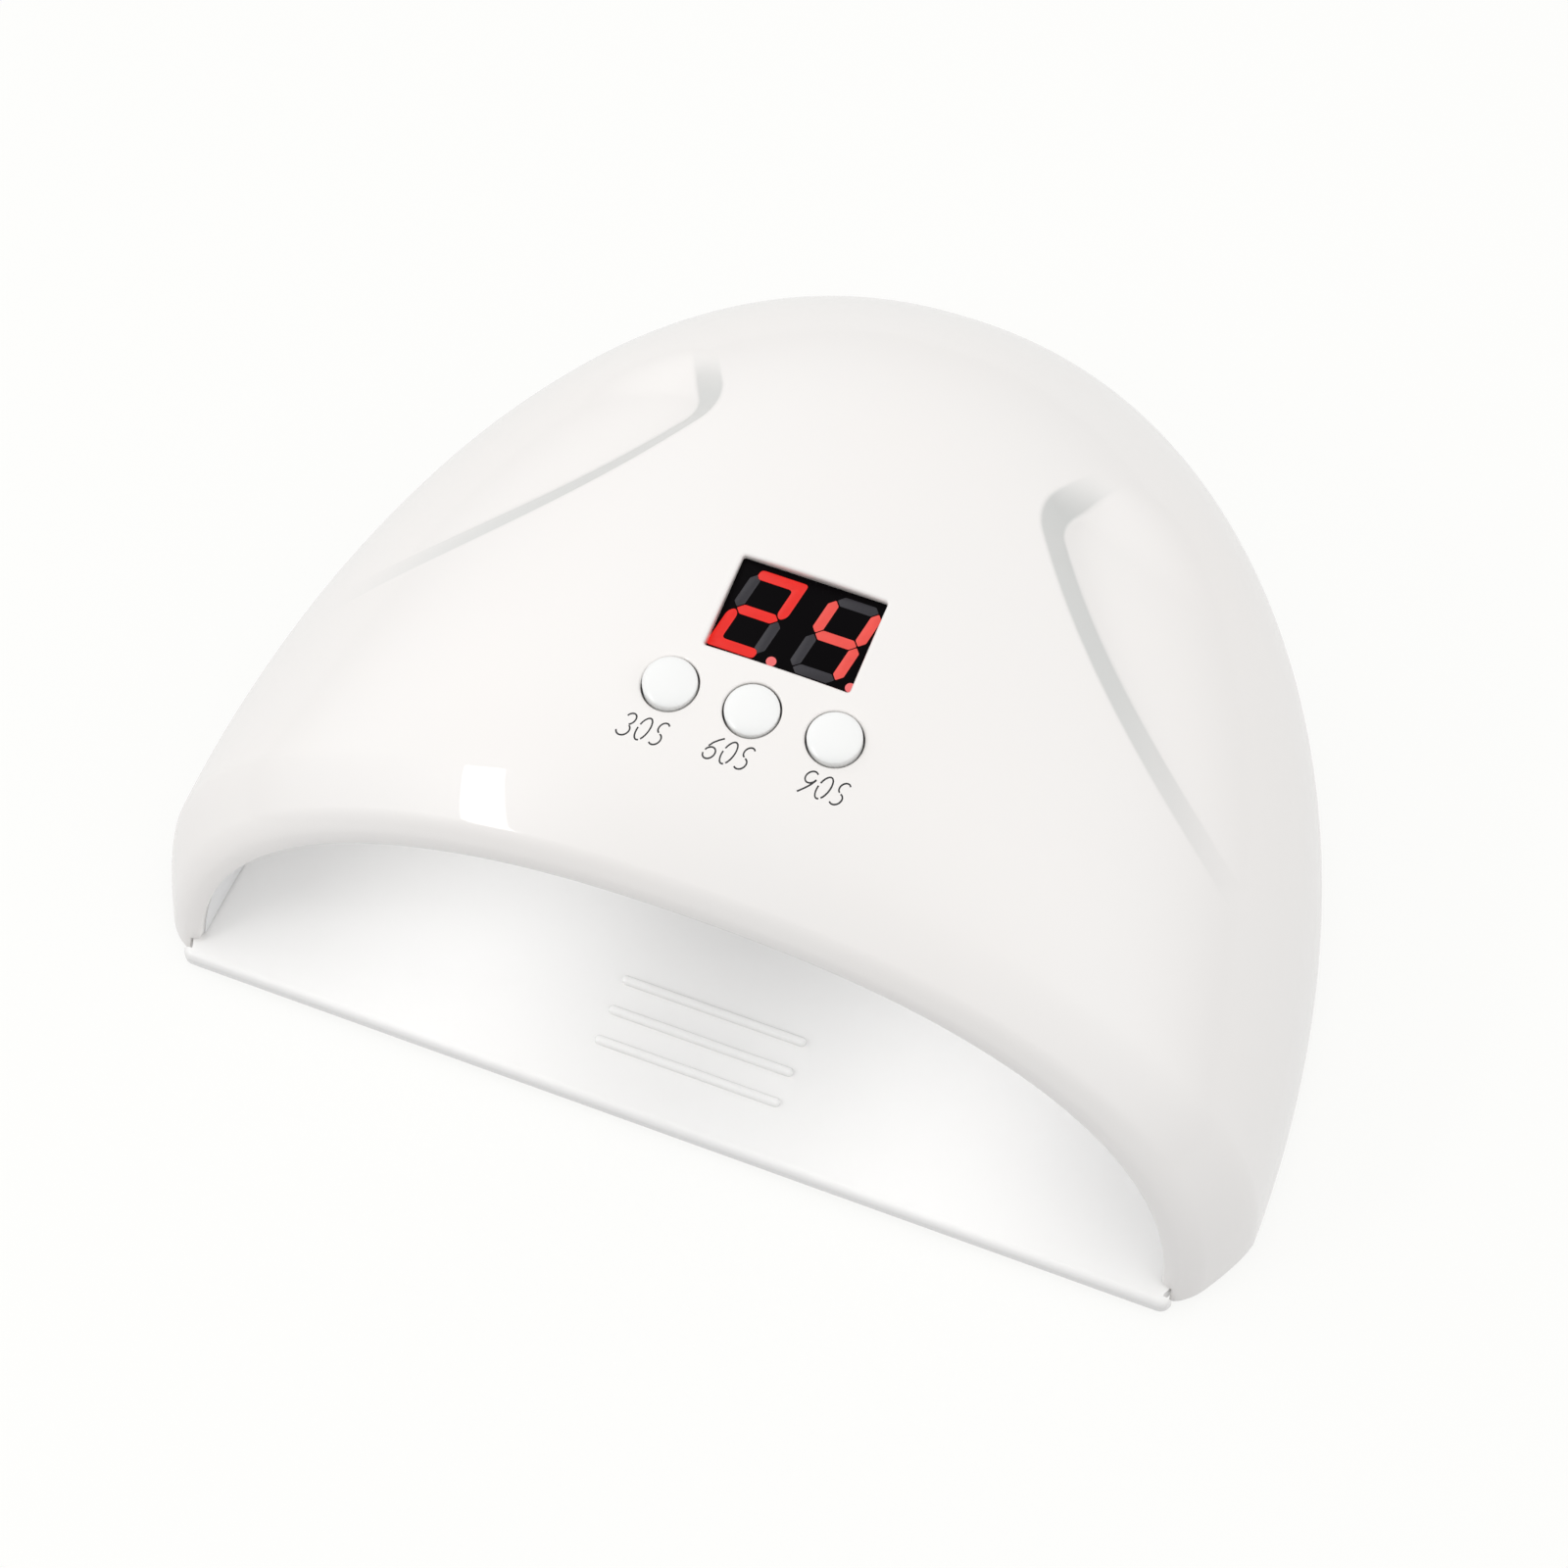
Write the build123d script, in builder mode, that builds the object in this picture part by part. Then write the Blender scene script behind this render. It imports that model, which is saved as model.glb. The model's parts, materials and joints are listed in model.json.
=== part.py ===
from build123d import *

import os
from math import copysign, cos, pi, radians, sin, sqrt, tan

# Nail lamp: a white dome with an arched mouth for one hand, a curing tunnel lined with lamps inside it,
# a timer panel with three push buttons on its crown and a lift-off tray that closes it below.
# Frame: +X to the right, +Y to the back, +Z up. The table is z = 0 and the footprint is centred on the
# origin. Depths along Y are first given from the front edge of the shell and then moved by at().
os.makedirs("parts", exist_ok=True)

# Outer shell
crown_height = 67.9  # skirt to crown
skirt_gap = 1.5  # table to skirt
half_width = 92.7  # at the cheeks, where the front turns into the sides
mouth_half_width = 85.8  # outside, at the front edge
mouth_height = 54.0  # skirt to the top of the front edge
cheek_depth = 13.9  # front edge to the widest place
cheek_power = 1.34  # how quickly the fascia turns into the sides
crown_depth = 77.3  # front edge to the highest place
brow_power = 2.6  # fall from the crown to the mouth
tail_depth = 144.4  # front edge to the small flat on the back
tail_run = 3.0  # from that flat to where the curves would close
tail_side_power = 2.17
tail_top_power = 2.55
mouth_squareness = 2.29  # section exponent, 2 is an ellipse
crown_squareness = 2.15
mouth_lean = 0.21  # how far the mouth leans back for each unit of height
lean_depth = 50.0  # where the sections stand upright again
wall = 2.4
rim_radius = 1.6  # rounding of the front edge
rim_turns = (0, 30, 60, 90)  # where the rounded edge has its sections
front_stations = (4.0, 7.5, 11.0, 14.0, 18.0, 26.0, 38.0, 52.0)  # depths of the sections behind it
tail_shares = (0.25, 0.48, 0.68, 0.82, 0.91, 0.965, 1)  # the rest, as shares of what is left
arch_steps = 16  # spans of a section from one foot over the top to the other

# Grip scoops beside the crown
scoop_corner = (25.4, 90.6)  # inner rear corner, (half width, depth)
scoop_belly = (48.3, 63.2)  # on the curved edge between that corner and the tip
scoop_tip = (78.5, 44.5)  # front tip
scoop_rear = (31.5, 102.0)  # end of the step towards the back
scoop_tail = (62.0, 112.0)  # rear end of the crease along the side
scoop_depth = 4.6  # step at the inner rear corner
scoop_draft = 0.75  # sideways run of the step for each unit of height
scoop_draft_skew = 0.35  # backward run of the step for each unit of sideways run
scoop_corner_radius = 9.0
scoop_wall_factor = 1.3  # level width of the wall behind the step, in walls
scoop_outside = 1.6  # outer end of the block that cuts a scoop, in half widths
draft_headroom = 6.0  # top of that block above the crown
boss_bite = 1.0  # bosses grow into the wall up to this far below its surface

# Timer panel: its plane touches the crown at the middle of the display window
panel_depth = 55.1
panel_tilt = 6.5
window_size = (23.4, 16.4)
window_bevel = 0.5
bevel_rise = 1.5  # start of the bevel's cut above the panel plane
display_size = (25.2, 19.0, 8.0)
display_drop = 2.2  # panel plane to the display face
display_slack = 0.3
digit_pitch = 12.7
digit_half_height = 6.35
digit_half_width = 3.45
digit_slant = 10.5
segment_width = 1.6
segment_gap = 0.2
segment_depth = 0.3
dot_radius = 0.8
dot_offset = (4.85, -6.65)

# Push buttons, one each for 30, 60 and 90 seconds
button_pitch = 13.2
button_row = -16.0  # from the middle of the window, down the slope
button_shift = -0.8
button_radius = 4.2
button_gap = 0.3
button_rise = 0.9  # top of the cap above the panel plane
button_crown = 0.9  # height of the domed end
button_flange_radius = 5.2
button_flange = 1.0
button_seat = 4.3  # panel plane to the top of the flange
button_travel = 0.5

# Control board
board_size = (54.0, 42.0, 1.6)
board_corner = 1.5
board_shift = -1.0  # board middle from window middle, down the slope
board_screw_at = (23.8, 17.6)  # from the board middle
board_boss_radius = 2.8
screw_radius = 1.0
screw_slack = 0.03
screw_head = (2.0, 1.4)  # radius and height
screw_length = 6.0
pin_pitch = 2.54
pin_rows = (-7.62, 7.62)
pin_steps = (-2, -1, 0, 1, 2)
pin_radius = 0.3
pin_hole_radius = 0.45
pin_tail = 1.2
chip_size = (10.0, 3.9, 1.5)
chip_at = (-8.0, 2.0)
chip_leg = (0.4, 1.1, 0.5)
chip_leg_pitch = 1.27
chip_leg_count = 7  # on each side
capacitor_radius = 2.5
capacitor_length = 11.0
capacitor_at = (0.0, 13.4)
inductor_radius = 3.4
inductor_height = 3.8
inductor_at = (14.0, 0.0)
connector_size = (7.4, 5.6, 4.4)
connector_at = (15.4, 13.6)
switch_size = 6.2
switch_height = 3.6
plunger_radius = 1.7
plunger_slack = 0.1
plunger_root = 1.0  # length of plunger inside the switch at rest

# Curing tunnel
tunnel_gap = 0.3  # shell to tunnel at the mouth
tunnel_wall = 1.4
tunnel_inset = 1.8  # front edge of the tunnel behind that of the shell
tunnel_run = 125.0  # front edge of the shell to where the tunnel's curves would close
tunnel_back = 121.0
tunnel_side_power = 2.2
tunnel_top_power = 3.0
tunnel_shares = (0, 0.12, 0.26, 0.42, 0.58, 0.72, 0.84, 0.93, 0.98, 1)  # where it has its sections
flange_thickness = 2.0
flange_slack = 0.4
flange_start = 5.0  # front end of the flange, behind the mouth

# Lamp strips and their beads
strip_depths = (24.0, 57.0, 90.0)
strip_names = ("front", "middle", "rear")
strip_width = 8.0
strip_thickness = 0.8
strip_gap = 0.35
strip_end_angle = 12  # where a strip ends above the tunnel's foot
strip_steps = 12
bead_angles = (24, 49, 75, 105, 131, 156)
bead_radius = 2.5
bead_slack = 0.25
bead_reach = 1.4  # lens beyond the tunnel's inner face
bead_seat = 0.2
bead_crown = 1.3  # height of the domed lens

# Tray, feet and magnets
tray_top = 4.2
tray_floor = 1.8
tray_bottom = 1.0
tray_rim = 1.8
tray_slack = 0.85
tray_lip = 2.0  # lip in front of the shell
lip_reach = 1.5  # lip beyond the sides of the tray, in front of the shell's feet
lip_gap = 0.4  # lip to the front of those feet
lip_corner = 1.9
lip_round = 1.3
lip_under_round = 0.8
rib_depths = (8.3, 14.0, 19.7)
rib_half_length = 15.8
rib_width = 1.5
rib_height = 0.9
rib_round = 0.6
foot_radius = 5.0
foot_at = ((70.0, 15.0), (33.0, 124.0))
foot_boss = 1.5
foot_recess = 0.6
foot_slack = 0.1
magnet_radius = 3.0
magnet_thickness = 2.6
keeper_thickness = 1.8
magnet_slack = 0.05
magnet_skin = 0.6
cup_wall = 1.0
magnet_depths = (42.0, 112.0)
tray_gap = 0.3  # tray top to the tunnel's flange

# Screws that hold the tunnel in the shell
case_screw_depths = (27.0, 64.0, 98.0)
case_screw_radius = 1.3
case_head = (2.6, 1.8)
case_screw_length = 11.0
case_head_gap = 0.2  # screw head above the flange's underside
case_hole_slack = 0.1
case_boss_rise = 2.2  # tunnel boss above its flange
case_boss_radius = 3.2

# Power inlet in the flat on the back
jack_height = 15.0
jack_flange = (5.5, 1.5)
jack_barrel = (4.0, 12.0)
jack_bore = (2.8, 9.0)
jack_pin = (1.0, 8.0)
jack_slack = 0.1
jack_pad = (8.0, 1.8)
nut_across = 10.0
nut_thickness = 2.0
tab_size = (1.8, 0.4, 4.0)
tab_offset = 2.2

# How far a cutter runs past the face that it opens
cutter_reach = 1.5

# Wires
wire_radius = 0.7
wire_pitch = 2.2
wire_start = 6.0  # straight run out of a connector
wire_height = 2.2  # wire above the board
bend_share = 0.45  # part of the shorter run beside a corner that its bend takes up
jack_wire_over = (11.0, 100.0, 52.0)  # (x, depth, height) where the inlet's wires pass over the tunnel
jack_wire_drop = (1.5, 40.0)  # (setback from the end of the tabs, height) where they turn down
strip_wire_drop = 8.0
jumper_half_pitch = 4.0
jumper_overlap = 2.0
jumper_rest = 0.05
jumper_radius = 0.4

middle = (tail_depth - tray_lip) / 2
arch_tangents = [(0, 1), (0, -1)]
flange_bottom = tray_top + tray_gap
flange_top = flange_bottom + flange_thickness


def at(depth):
    """Y of a depth measured from the front edge of the shell."""
    return depth - middle


def shell_half_width(depth, inset=0.0):
    """Half width of the shell's section at a depth, less an inset."""
    if depth < cheek_depth:
        turn = 1 - (1 - depth / cheek_depth) ** cheek_power
        return mouth_half_width + (half_width - mouth_half_width) * turn - inset
    close = tail_depth + tail_run - inset
    part = (depth - cheek_depth) / (close - cheek_depth)
    return (half_width - inset) * sqrt(1 - part**tail_side_power)


def shell_height(depth, inset=0.0):
    """Height of the shell's section above the skirt at a depth, less an inset."""
    if depth < crown_depth:
        fall = ((crown_depth - depth) / crown_depth) ** brow_power
        return crown_height - (crown_height - mouth_height) * fall - inset
    close = tail_depth + tail_run - inset
    part = (depth - crown_depth) / (close - crown_depth)
    return (crown_height - inset) * sqrt(1 - part**tail_top_power)


def tunnel_half_width(depth, inset=0.0):
    """Half width of the tunnel's section at a depth, less an inset."""
    part = depth / (tunnel_run - inset)
    return (shell_half_width(0, wall + tunnel_gap) - inset) * sqrt(1 - part**tunnel_side_power)


def tunnel_height(depth, inset=0.0):
    """Height of the tunnel's section above the skirt at a depth, less an inset."""
    part = depth / (tunnel_run - inset)
    return (shell_height(0, wall + tunnel_gap) - inset) * sqrt(1 - part**tunnel_top_power)


def squareness(depth):
    """Exponent of the sections at a depth."""
    near = max(0.0, 1 - depth / lean_depth) ** 2
    return crown_squareness + (mouth_squareness - crown_squareness) * near


def lean(depth):
    """Run of a section's plane towards the back for each unit of height."""
    return mouth_lean * max(0.0, 1 - depth / lean_depth) ** 2


def station(depth):
    """Plane of the section at a depth: local x is X, local y is up the plane."""
    return Plane(origin=(0, at(depth), 0), x_dir=(1, 0, 0), z_dir=(0, -1, lean(depth)))


def arch_points(depth, width, height, angles):
    """Points of a section over the top from right to left, in the station's plane."""
    power = 2 / squareness(depth)
    stretch = sqrt(1 + lean(depth) ** 2)
    return [
        (
            width * copysign(abs(cos(a)) ** power, cos(a)),
            (skirt_gap + height * abs(sin(a)) ** power) * stretch,
        )
        for a in angles
    ]


def arch_section(depth, width, height, cutter=False):
    """Closed section of a dome: an arch over the skirt line, or for a cutter over a line below it."""
    points = arch_points(depth, width, height, [pi * i / arch_steps for i in range(arch_steps + 1)])
    with BuildSketch(station(depth)) as section:
        with BuildLine():
            arch = Spline(points, tangents=arch_tangents, tangent_scalars=(1, 1))
            if cutter:
                below = skirt_gap - cutter_reach
                Polyline(arch @ 1, (-width, below), (width, below), arch @ 0)
            else:
                Line(arch @ 1, arch @ 0)
        make_face()
    return section.sketch


def edge_roll(depth):
    """How far the rounded front edge draws the surface in at a depth."""
    back = max(0.0, rim_radius - depth)
    return rim_radius - sqrt(rim_radius**2 - back**2)


def stations_to(last):
    """Depths of the sections of a dome that ends at a depth."""
    edge = [rim_radius * (1 - cos(radians(turn))) for turn in rim_turns]
    start = front_stations[-1]
    return [*edge, *front_stations, *[start + (last - start) * share for share in tail_shares]]


def shell_form(inset, cutter=False):
    """Solid dome of the shell, or the dome inside its wall as a cutter that reaches out of the mouth."""
    depths = stations_to(tail_depth - inset)
    if cutter:
        depths[0] = -cutter_reach
    with BuildPart() as form:
        for depth in depths:
            draw = inset + (0.0 if cutter else edge_roll(depth))
            width = shell_half_width(depth, draw)
            height = shell_height(depth, draw)
            add(arch_section(depth, width, height, cutter))
        loft()
    return form.part


def tunnel_form(inset, cutter=False):
    """Solid of the curing tunnel, or the hollow inside its wall as a cutter out through the mouth."""
    first = -cutter_reach if cutter else tunnel_inset
    run = tunnel_back - inset - first
    with BuildPart() as form:
        for share in tunnel_shares:
            depth = first + run * share
            width = tunnel_half_width(max(depth, 0.0), inset)
            height = tunnel_height(max(depth, 0.0), inset)
            add(arch_section(depth, width, height, cutter))
        loft()
    return form.part


def dome_height(x, depth):
    """Height of the dome above the table where its sections stand upright."""
    power = squareness(depth)
    return skirt_gap + shell_height(depth) * (1 - (x / shell_half_width(depth)) ** power) ** (1 / power)


def plan_sketch(inset, low, high, first=0.0):
    """Footprint drawn at a low height that stays inside the shell's wall up to a high one."""
    last = tail_depth - inset
    depths = [first] + [depth for depth in stations_to(last) if depth > first + rim_radius]
    side = [(shell_half_width(max(0.0, depth - lean(depth) * high), inset), at(depth)) for depth in depths]
    with BuildSketch(Plane.XY.offset(low)) as plan:
        with BuildLine():
            right = Spline(side)
            left = Spline([(-x, y) for x, y in side])
            Line(right @ 0, left @ 0)
            Line(right @ 1, left @ 1)
        make_face()
    return plan.sketch


def gap_middle(depth):
    """Half width that lies midway between the tunnel and the shell's wall at a depth."""
    return (tunnel_half_width(depth) + shell_half_width(depth, wall)) / 2


def crown_fall(radius, crown, out):
    """How far a domed end of a radius and a crown height has fallen at a distance from its middle."""
    ball = (radius**2 + crown**2) / (2 * crown)
    return ball - sqrt(ball**2 - out**2)


def both_sides(spots):
    """The same spots on the left and on the right."""
    return [(side * x, y) for x, y in spots for side in (-1, 1)]


outer_form = shell_form(0.0)
cavity_form = shell_form(wall, cutter=True)

# Places that several pieces share
screw_spots = both_sides([(gap_middle(depth), at(depth)) for depth in case_screw_depths])
magnet_spots = both_sides([(gap_middle(depth), at(depth)) for depth in magnet_depths])
foot_spots = both_sides([(x, at(depth)) for x, depth in foot_at])
panel_height = skirt_gap + shell_height(panel_depth)
tilt = radians(panel_tilt)
panel = Plane(
    origin=(0, at(panel_depth), panel_height),
    x_dir=(1, 0, 0),
    z_dir=(0, -sin(tilt), cos(tilt)),
)
button_spots = [(button_shift + i * button_pitch, button_row) for i in (-1, 0, 1)]
button_names = ("30", "60", "90")
board_top = -(display_drop + display_size[2])
board_bottom = board_top - board_size[2]
board_spots = both_sides([(board_screw_at[0], way * board_screw_at[1] + board_shift) for way in (-1, 1)])
pin_spots = [(pin_pitch * step, row) for row in pin_rows for step in pin_steps]
jack_plane = Plane(origin=(0, at(tail_depth), jack_height), x_dir=(-1, 0, 0), z_dir=(0, 1, 0))

# Grip scoops: a leaf-shaped step sinks below the dome and fades out along a crease on the side
crease = Vector(scoop_tail[0] - scoop_tip[0], scoop_tail[1] - scoop_tip[1], 0)
corner_arm = Vector(scoop_corner[0] - scoop_tip[0], scoop_corner[1] - scoop_tip[1], 0)
corner_reach = abs(crease.normalized().cross(corner_arm).Z)
crease_axis = Axis(
    origin=(scoop_tip[0], at(scoop_tip[1]), dome_height(*scoop_tip)),
    direction=(crease.X, crease.Y, 0),
)
sink = -scoop_depth / corner_reach * 180 / pi
draft_run = Vector(scoop_draft, scoop_draft * scoop_draft_skew, -1)
draft_top = skirt_gap + crown_height + draft_headroom


def scoop_point(half_width, depth):
    """Where the drafted wall of a scoop that passes through a spot on the dome meets the plane above it."""
    fall = draft_top - dome_height(half_width, depth)
    return (half_width - fall * draft_run.X, at(depth) - fall * draft_run.Y)


def scoop_prism(grow):
    """Drafted block over the right scoop, wider than the scoop by an amount."""
    outside = half_width * scoop_outside
    with BuildPart() as block:
        corner = scoop_point(*scoop_corner)
        tip = scoop_point(*scoop_tip)
        with BuildSketch(Plane.XY.offset(draft_top)) as leaf:
            with BuildLine():
                ThreePointArc(tip, scoop_point(*scoop_belly), corner)
                Polyline(
                    corner,
                    scoop_point(*scoop_rear),
                    (outside, at(tail_depth)),
                    (outside, at(scoop_tip[1])),
                    tip,
                )
            make_face()
            fillet(leaf.vertices().sort_by_distance((*corner, 0))[0], scoop_corner_radius)
            offset(amount=grow)
        extrude(amount=draft_top, dir=draft_run)
    return block.part


scoop_cut = scoop_prism(0) - outer_form.rotate(crease_axis, sink)
scoop_fill = scoop_prism(wall * scoop_wall_factor) - cavity_form.rotate(crease_axis, sink)
core_form = shell_form(boss_bite)

# Top shell: one moulding with the timer panel's openings, bosses and a thicker patch round the inlet
with BuildPart() as scooped_cavity:
    add(cavity_form)
    add(scoop_fill, mode=Mode.SUBTRACT)
    add(mirror(scoop_fill, about=Plane.YZ, mode=Mode.PRIVATE), mode=Mode.SUBTRACT)

case_boss_bottom = flange_top + case_boss_rise
with BuildPart() as shell_bosses:
    with BuildSketch(Plane.XY.offset(case_boss_bottom)):
        with Locations(screw_spots):
            Circle(case_boss_radius)
    extrude(amount=crown_height)
    with BuildSketch(panel.offset(board_top)):
        with Locations(board_spots):
            Circle(board_boss_radius)
    extrude(amount=display_size[2] + display_drop)
    add(core_form, mode=Mode.INTERSECT)

with BuildPart() as top_shell:
    add(outer_form)
    add(scooped_cavity.part, mode=Mode.SUBTRACT)
    add(shell_bosses.part)
    with BuildSketch(jack_plane.offset(-wall)):
        Circle(jack_pad[0])
    extrude(amount=-jack_pad[1])
    add(scoop_cut, mode=Mode.SUBTRACT)
    add(mirror(scoop_cut, about=Plane.YZ, mode=Mode.PRIVATE), mode=Mode.SUBTRACT)
    # Window, its bevel, and the pocket that the display sits in
    with BuildSketch(panel):
        Rectangle(*window_size)
    extrude(amount=display_size[2], both=True, mode=Mode.SUBTRACT)
    with BuildSketch(panel.offset(bevel_rise)):
        Rectangle(*[side + 2 * (window_bevel + bevel_rise) for side in window_size])
    extrude(amount=-(window_bevel + bevel_rise), taper=45, mode=Mode.SUBTRACT)
    with BuildSketch(panel.offset(display_slack - display_drop)):
        Rectangle(*[side + 2 * display_slack for side in display_size[:2]])
    extrude(amount=-display_size[2], mode=Mode.SUBTRACT)
    # Button holes and the room for their flanges
    with BuildSketch(panel.offset(button_seat)):
        with Locations(button_spots):
            Circle(button_radius + button_gap)
    extrude(amount=-2 * button_seat, mode=Mode.SUBTRACT)
    with BuildSketch(panel.offset(button_gap - button_seat)):
        with Locations(button_spots):
            Circle(button_flange_radius + button_gap)
    extrude(amount=-button_seat, mode=Mode.SUBTRACT)
    # Pilot holes
    with BuildSketch(panel.offset(board_top)):
        with Locations(board_spots):
            Circle(screw_radius + screw_slack)
    extrude(amount=screw_length - board_size[2] + screw_slack, mode=Mode.SUBTRACT)
    with BuildSketch(Plane.XY.offset(case_boss_bottom)):
        with Locations(screw_spots):
            Circle(case_screw_radius + screw_slack)
    extrude(amount=case_screw_length, mode=Mode.SUBTRACT)
    # Inlet
    with BuildSketch(jack_plane):
        Circle(jack_barrel[0] + jack_slack)
    extrude(amount=-(wall + jack_pad[1]), mode=Mode.SUBTRACT)
    with BuildSketch(jack_plane):
        Circle(jack_flange[0] + jack_slack)
    extrude(amount=-(jack_flange[1] + jack_slack), mode=Mode.SUBTRACT)
top_shell.part.label = "top_shell"
export_step(top_shell.part, "parts/top_shell.step")

# Curing tunnel: a closed vault with a flange all round its foot, which hides the works from below
tunnel_outer = tunnel_form(0.0)
tunnel_hollow = tunnel_form(tunnel_wall, cutter=True)


def arch_spot(depth, width, height, angle):
    """Plane on a section's arch at an angle, with its z axis pointing out of the arch."""
    plane = station(depth)
    ((x, y),) = arch_points(depth, width, height, [radians(angle)])
    power = squareness(depth) - 1
    rise = y / sqrt(1 + lean(depth) ** 2) - skirt_gap
    across = copysign((abs(x) / width) ** power / width, x)
    up = (rise / height) ** power / height
    return Plane(
        origin=plane.from_local_coords((x, y, 0)),
        x_dir=plane.z_dir,
        z_dir=plane.x_dir * across + plane.y_dir * up,
    )


def strip_arch(depth):
    """Half width and height of the inner face of the strip at a depth, which clears its widest section."""
    front = depth - strip_width / 2
    return tunnel_half_width(front) + strip_gap, tunnel_height(front) + strip_gap


def bead_spots(depth):
    """Planes at the seats of a strip's beads and each bead's length down to its lens."""
    width, height = strip_arch(depth)
    side_run = width - tunnel_half_width(depth, tunnel_wall)
    top_run = height - tunnel_height(depth, tunnel_wall)
    spots = []
    for angle in bead_angles:
        spot = arch_spot(depth, width, height, angle)
        run = side_run * spot.z_dir.X**2 + top_run * (1 - spot.z_dir.X**2)
        spots.append((spot, run + bead_reach))
    return spots


with BuildPart() as inner_liner:
    add(tunnel_outer)
    split(bisect_by=Plane.XY.offset(flange_bottom), keep=Keep.TOP)
    add(plan_sketch(wall + flange_slack, flange_bottom, flange_top, first=flange_start))
    extrude(amount=flange_thickness)
    with BuildSketch(Plane.XY.offset(flange_bottom)):
        with Locations(screw_spots):
            Circle(case_head[0] + case_hole_slack + cup_wall)
    extrude(amount=flange_thickness + case_boss_rise)
    with BuildSketch(Plane.XY.offset(flange_bottom)):
        with Locations(magnet_spots):
            Circle(magnet_radius + magnet_slack + cup_wall)
    extrude(amount=magnet_skin + magnet_thickness)
    add(tunnel_hollow, mode=Mode.SUBTRACT)
    with BuildSketch(Plane.XY.offset(flange_bottom + magnet_skin)):
        with Locations(magnet_spots):
            Circle(magnet_radius + magnet_slack)
    extrude(amount=magnet_thickness, mode=Mode.SUBTRACT)
    with BuildSketch(Plane.XY.offset(flange_bottom)):
        with Locations(screw_spots):
            Circle(case_head[0] + case_hole_slack)
    extrude(amount=case_head_gap + case_head[1], mode=Mode.SUBTRACT)
    with BuildSketch(Plane.XY.offset(flange_bottom)):
        with Locations(screw_spots):
            Circle(case_screw_radius + case_hole_slack)
    extrude(amount=flange_thickness + case_boss_rise, mode=Mode.SUBTRACT)
    for depth in strip_depths:
        for spot, length in bead_spots(depth):
            with Locations(spot.offset(strip_gap)):
                Cylinder(bead_radius + bead_slack, 2 * length, mode=Mode.SUBTRACT)
inner_liner.part.label = "inner_liner"
export_step(inner_liner.part, "parts/inner_liner.step")

# Screws that hold the tunnel up in the shell
with BuildPart() as liner_screws:
    head_top = flange_bottom + case_head_gap + case_head[1]
    with BuildSketch(Plane.XY.offset(head_top - case_head[1])):
        with Locations(screw_spots):
            Circle(case_head[0])
    extrude(amount=case_head[1])
    with BuildSketch(Plane.XY.offset(head_top)):
        with Locations(screw_spots):
            Circle(case_screw_radius)
    extrude(amount=case_screw_length)
liner_screws.part.label = "liner_screws"
export_step(liner_screws.part, "parts/liner_screws.step")

# Magnets in the cups on the flange
with BuildPart() as shell_magnets:
    with BuildSketch(Plane.XY.offset(flange_bottom + magnet_skin)):
        with Locations(magnet_spots):
            Circle(magnet_radius)
    extrude(amount=magnet_thickness)
shell_magnets.part.label = "shell_magnets"
export_step(shell_magnets.part, "parts/shell_magnets.step")

# Lift-off tray: a thin floor with a rim below it, a rounded lip in front and three ribs for the fingers
tray_half_width = shell_half_width(0, wall + tray_slack)
with BuildPart() as tray_front:
    with BuildSketch(Plane.XY.offset(tray_bottom)):
        with Locations((0, at(0))):
            RectangleRounded(2 * (tray_half_width + lip_reach), 2 * tray_lip, lip_corner)
    extrude(amount=tray_top - tray_bottom)
    fillet(tray_front.edges().group_by(Axis.Z)[-1], lip_round)
    fillet(tray_front.edges().group_by(Axis.Z)[0], lip_under_round)
    with BuildSketch(Plane.XY.offset(tray_bottom)):
        for side in (-1, 1):
            with Locations((side * (tray_half_width + lip_reach), at(tray_lip - lip_gap))):
                Rectangle(2 * lip_reach, 2 * tray_lip)
    extrude(amount=tray_top - tray_bottom, mode=Mode.SUBTRACT)

with BuildPart() as base_tray:
    add(plan_sketch(wall + tray_slack, tray_bottom, tray_top))
    extrude(amount=tray_top - tray_bottom)
    add(tray_front.part)
    add(plan_sketch(wall + tray_slack + tray_rim, tray_bottom, tray_top))
    extrude(amount=tray_top - tray_floor - tray_bottom, mode=Mode.SUBTRACT)
    with BuildSketch(Plane.XY.offset(tray_bottom)):
        with Locations(foot_spots):
            Circle(foot_radius + foot_slack + foot_boss)
    extrude(amount=tray_top - tray_floor - tray_bottom)
    with BuildSketch(Plane.XY.offset(tray_bottom)):
        with Locations(foot_spots):
            Circle(foot_radius + foot_slack)
    extrude(amount=foot_recess, mode=Mode.SUBTRACT)
    keeper_bottom = tray_top - magnet_skin - keeper_thickness
    with BuildSketch(Plane.XY.offset(keeper_bottom)):
        with Locations(magnet_spots):
            Circle(magnet_radius + magnet_slack + cup_wall)
    extrude(amount=tray_top - tray_floor - keeper_bottom)
    with BuildSketch(Plane.XY.offset(keeper_bottom)):
        with Locations(magnet_spots):
            Circle(magnet_radius + magnet_slack)
    extrude(amount=keeper_thickness, mode=Mode.SUBTRACT)
    with BuildSketch(Plane.XY.offset(tray_top)):
        with Locations([(0, at(depth)) for depth in rib_depths]):
            SlotOverall(2 * rib_half_length, rib_width)
    extrude(amount=rib_height)
    fillet(base_tray.edges().group_by(Axis.Z)[-1], rib_round)
base_tray.part.label = "base_tray"
export_step(base_tray.part, "parts/base_tray.step")

with BuildPart() as tray_keepers:
    with BuildSketch(Plane.XY.offset(keeper_bottom)):
        with Locations(magnet_spots):
            Circle(magnet_radius)
    extrude(amount=keeper_thickness)
tray_keepers.part.label = "tray_keepers"
export_step(tray_keepers.part, "parts/tray_keepers.step")

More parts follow.
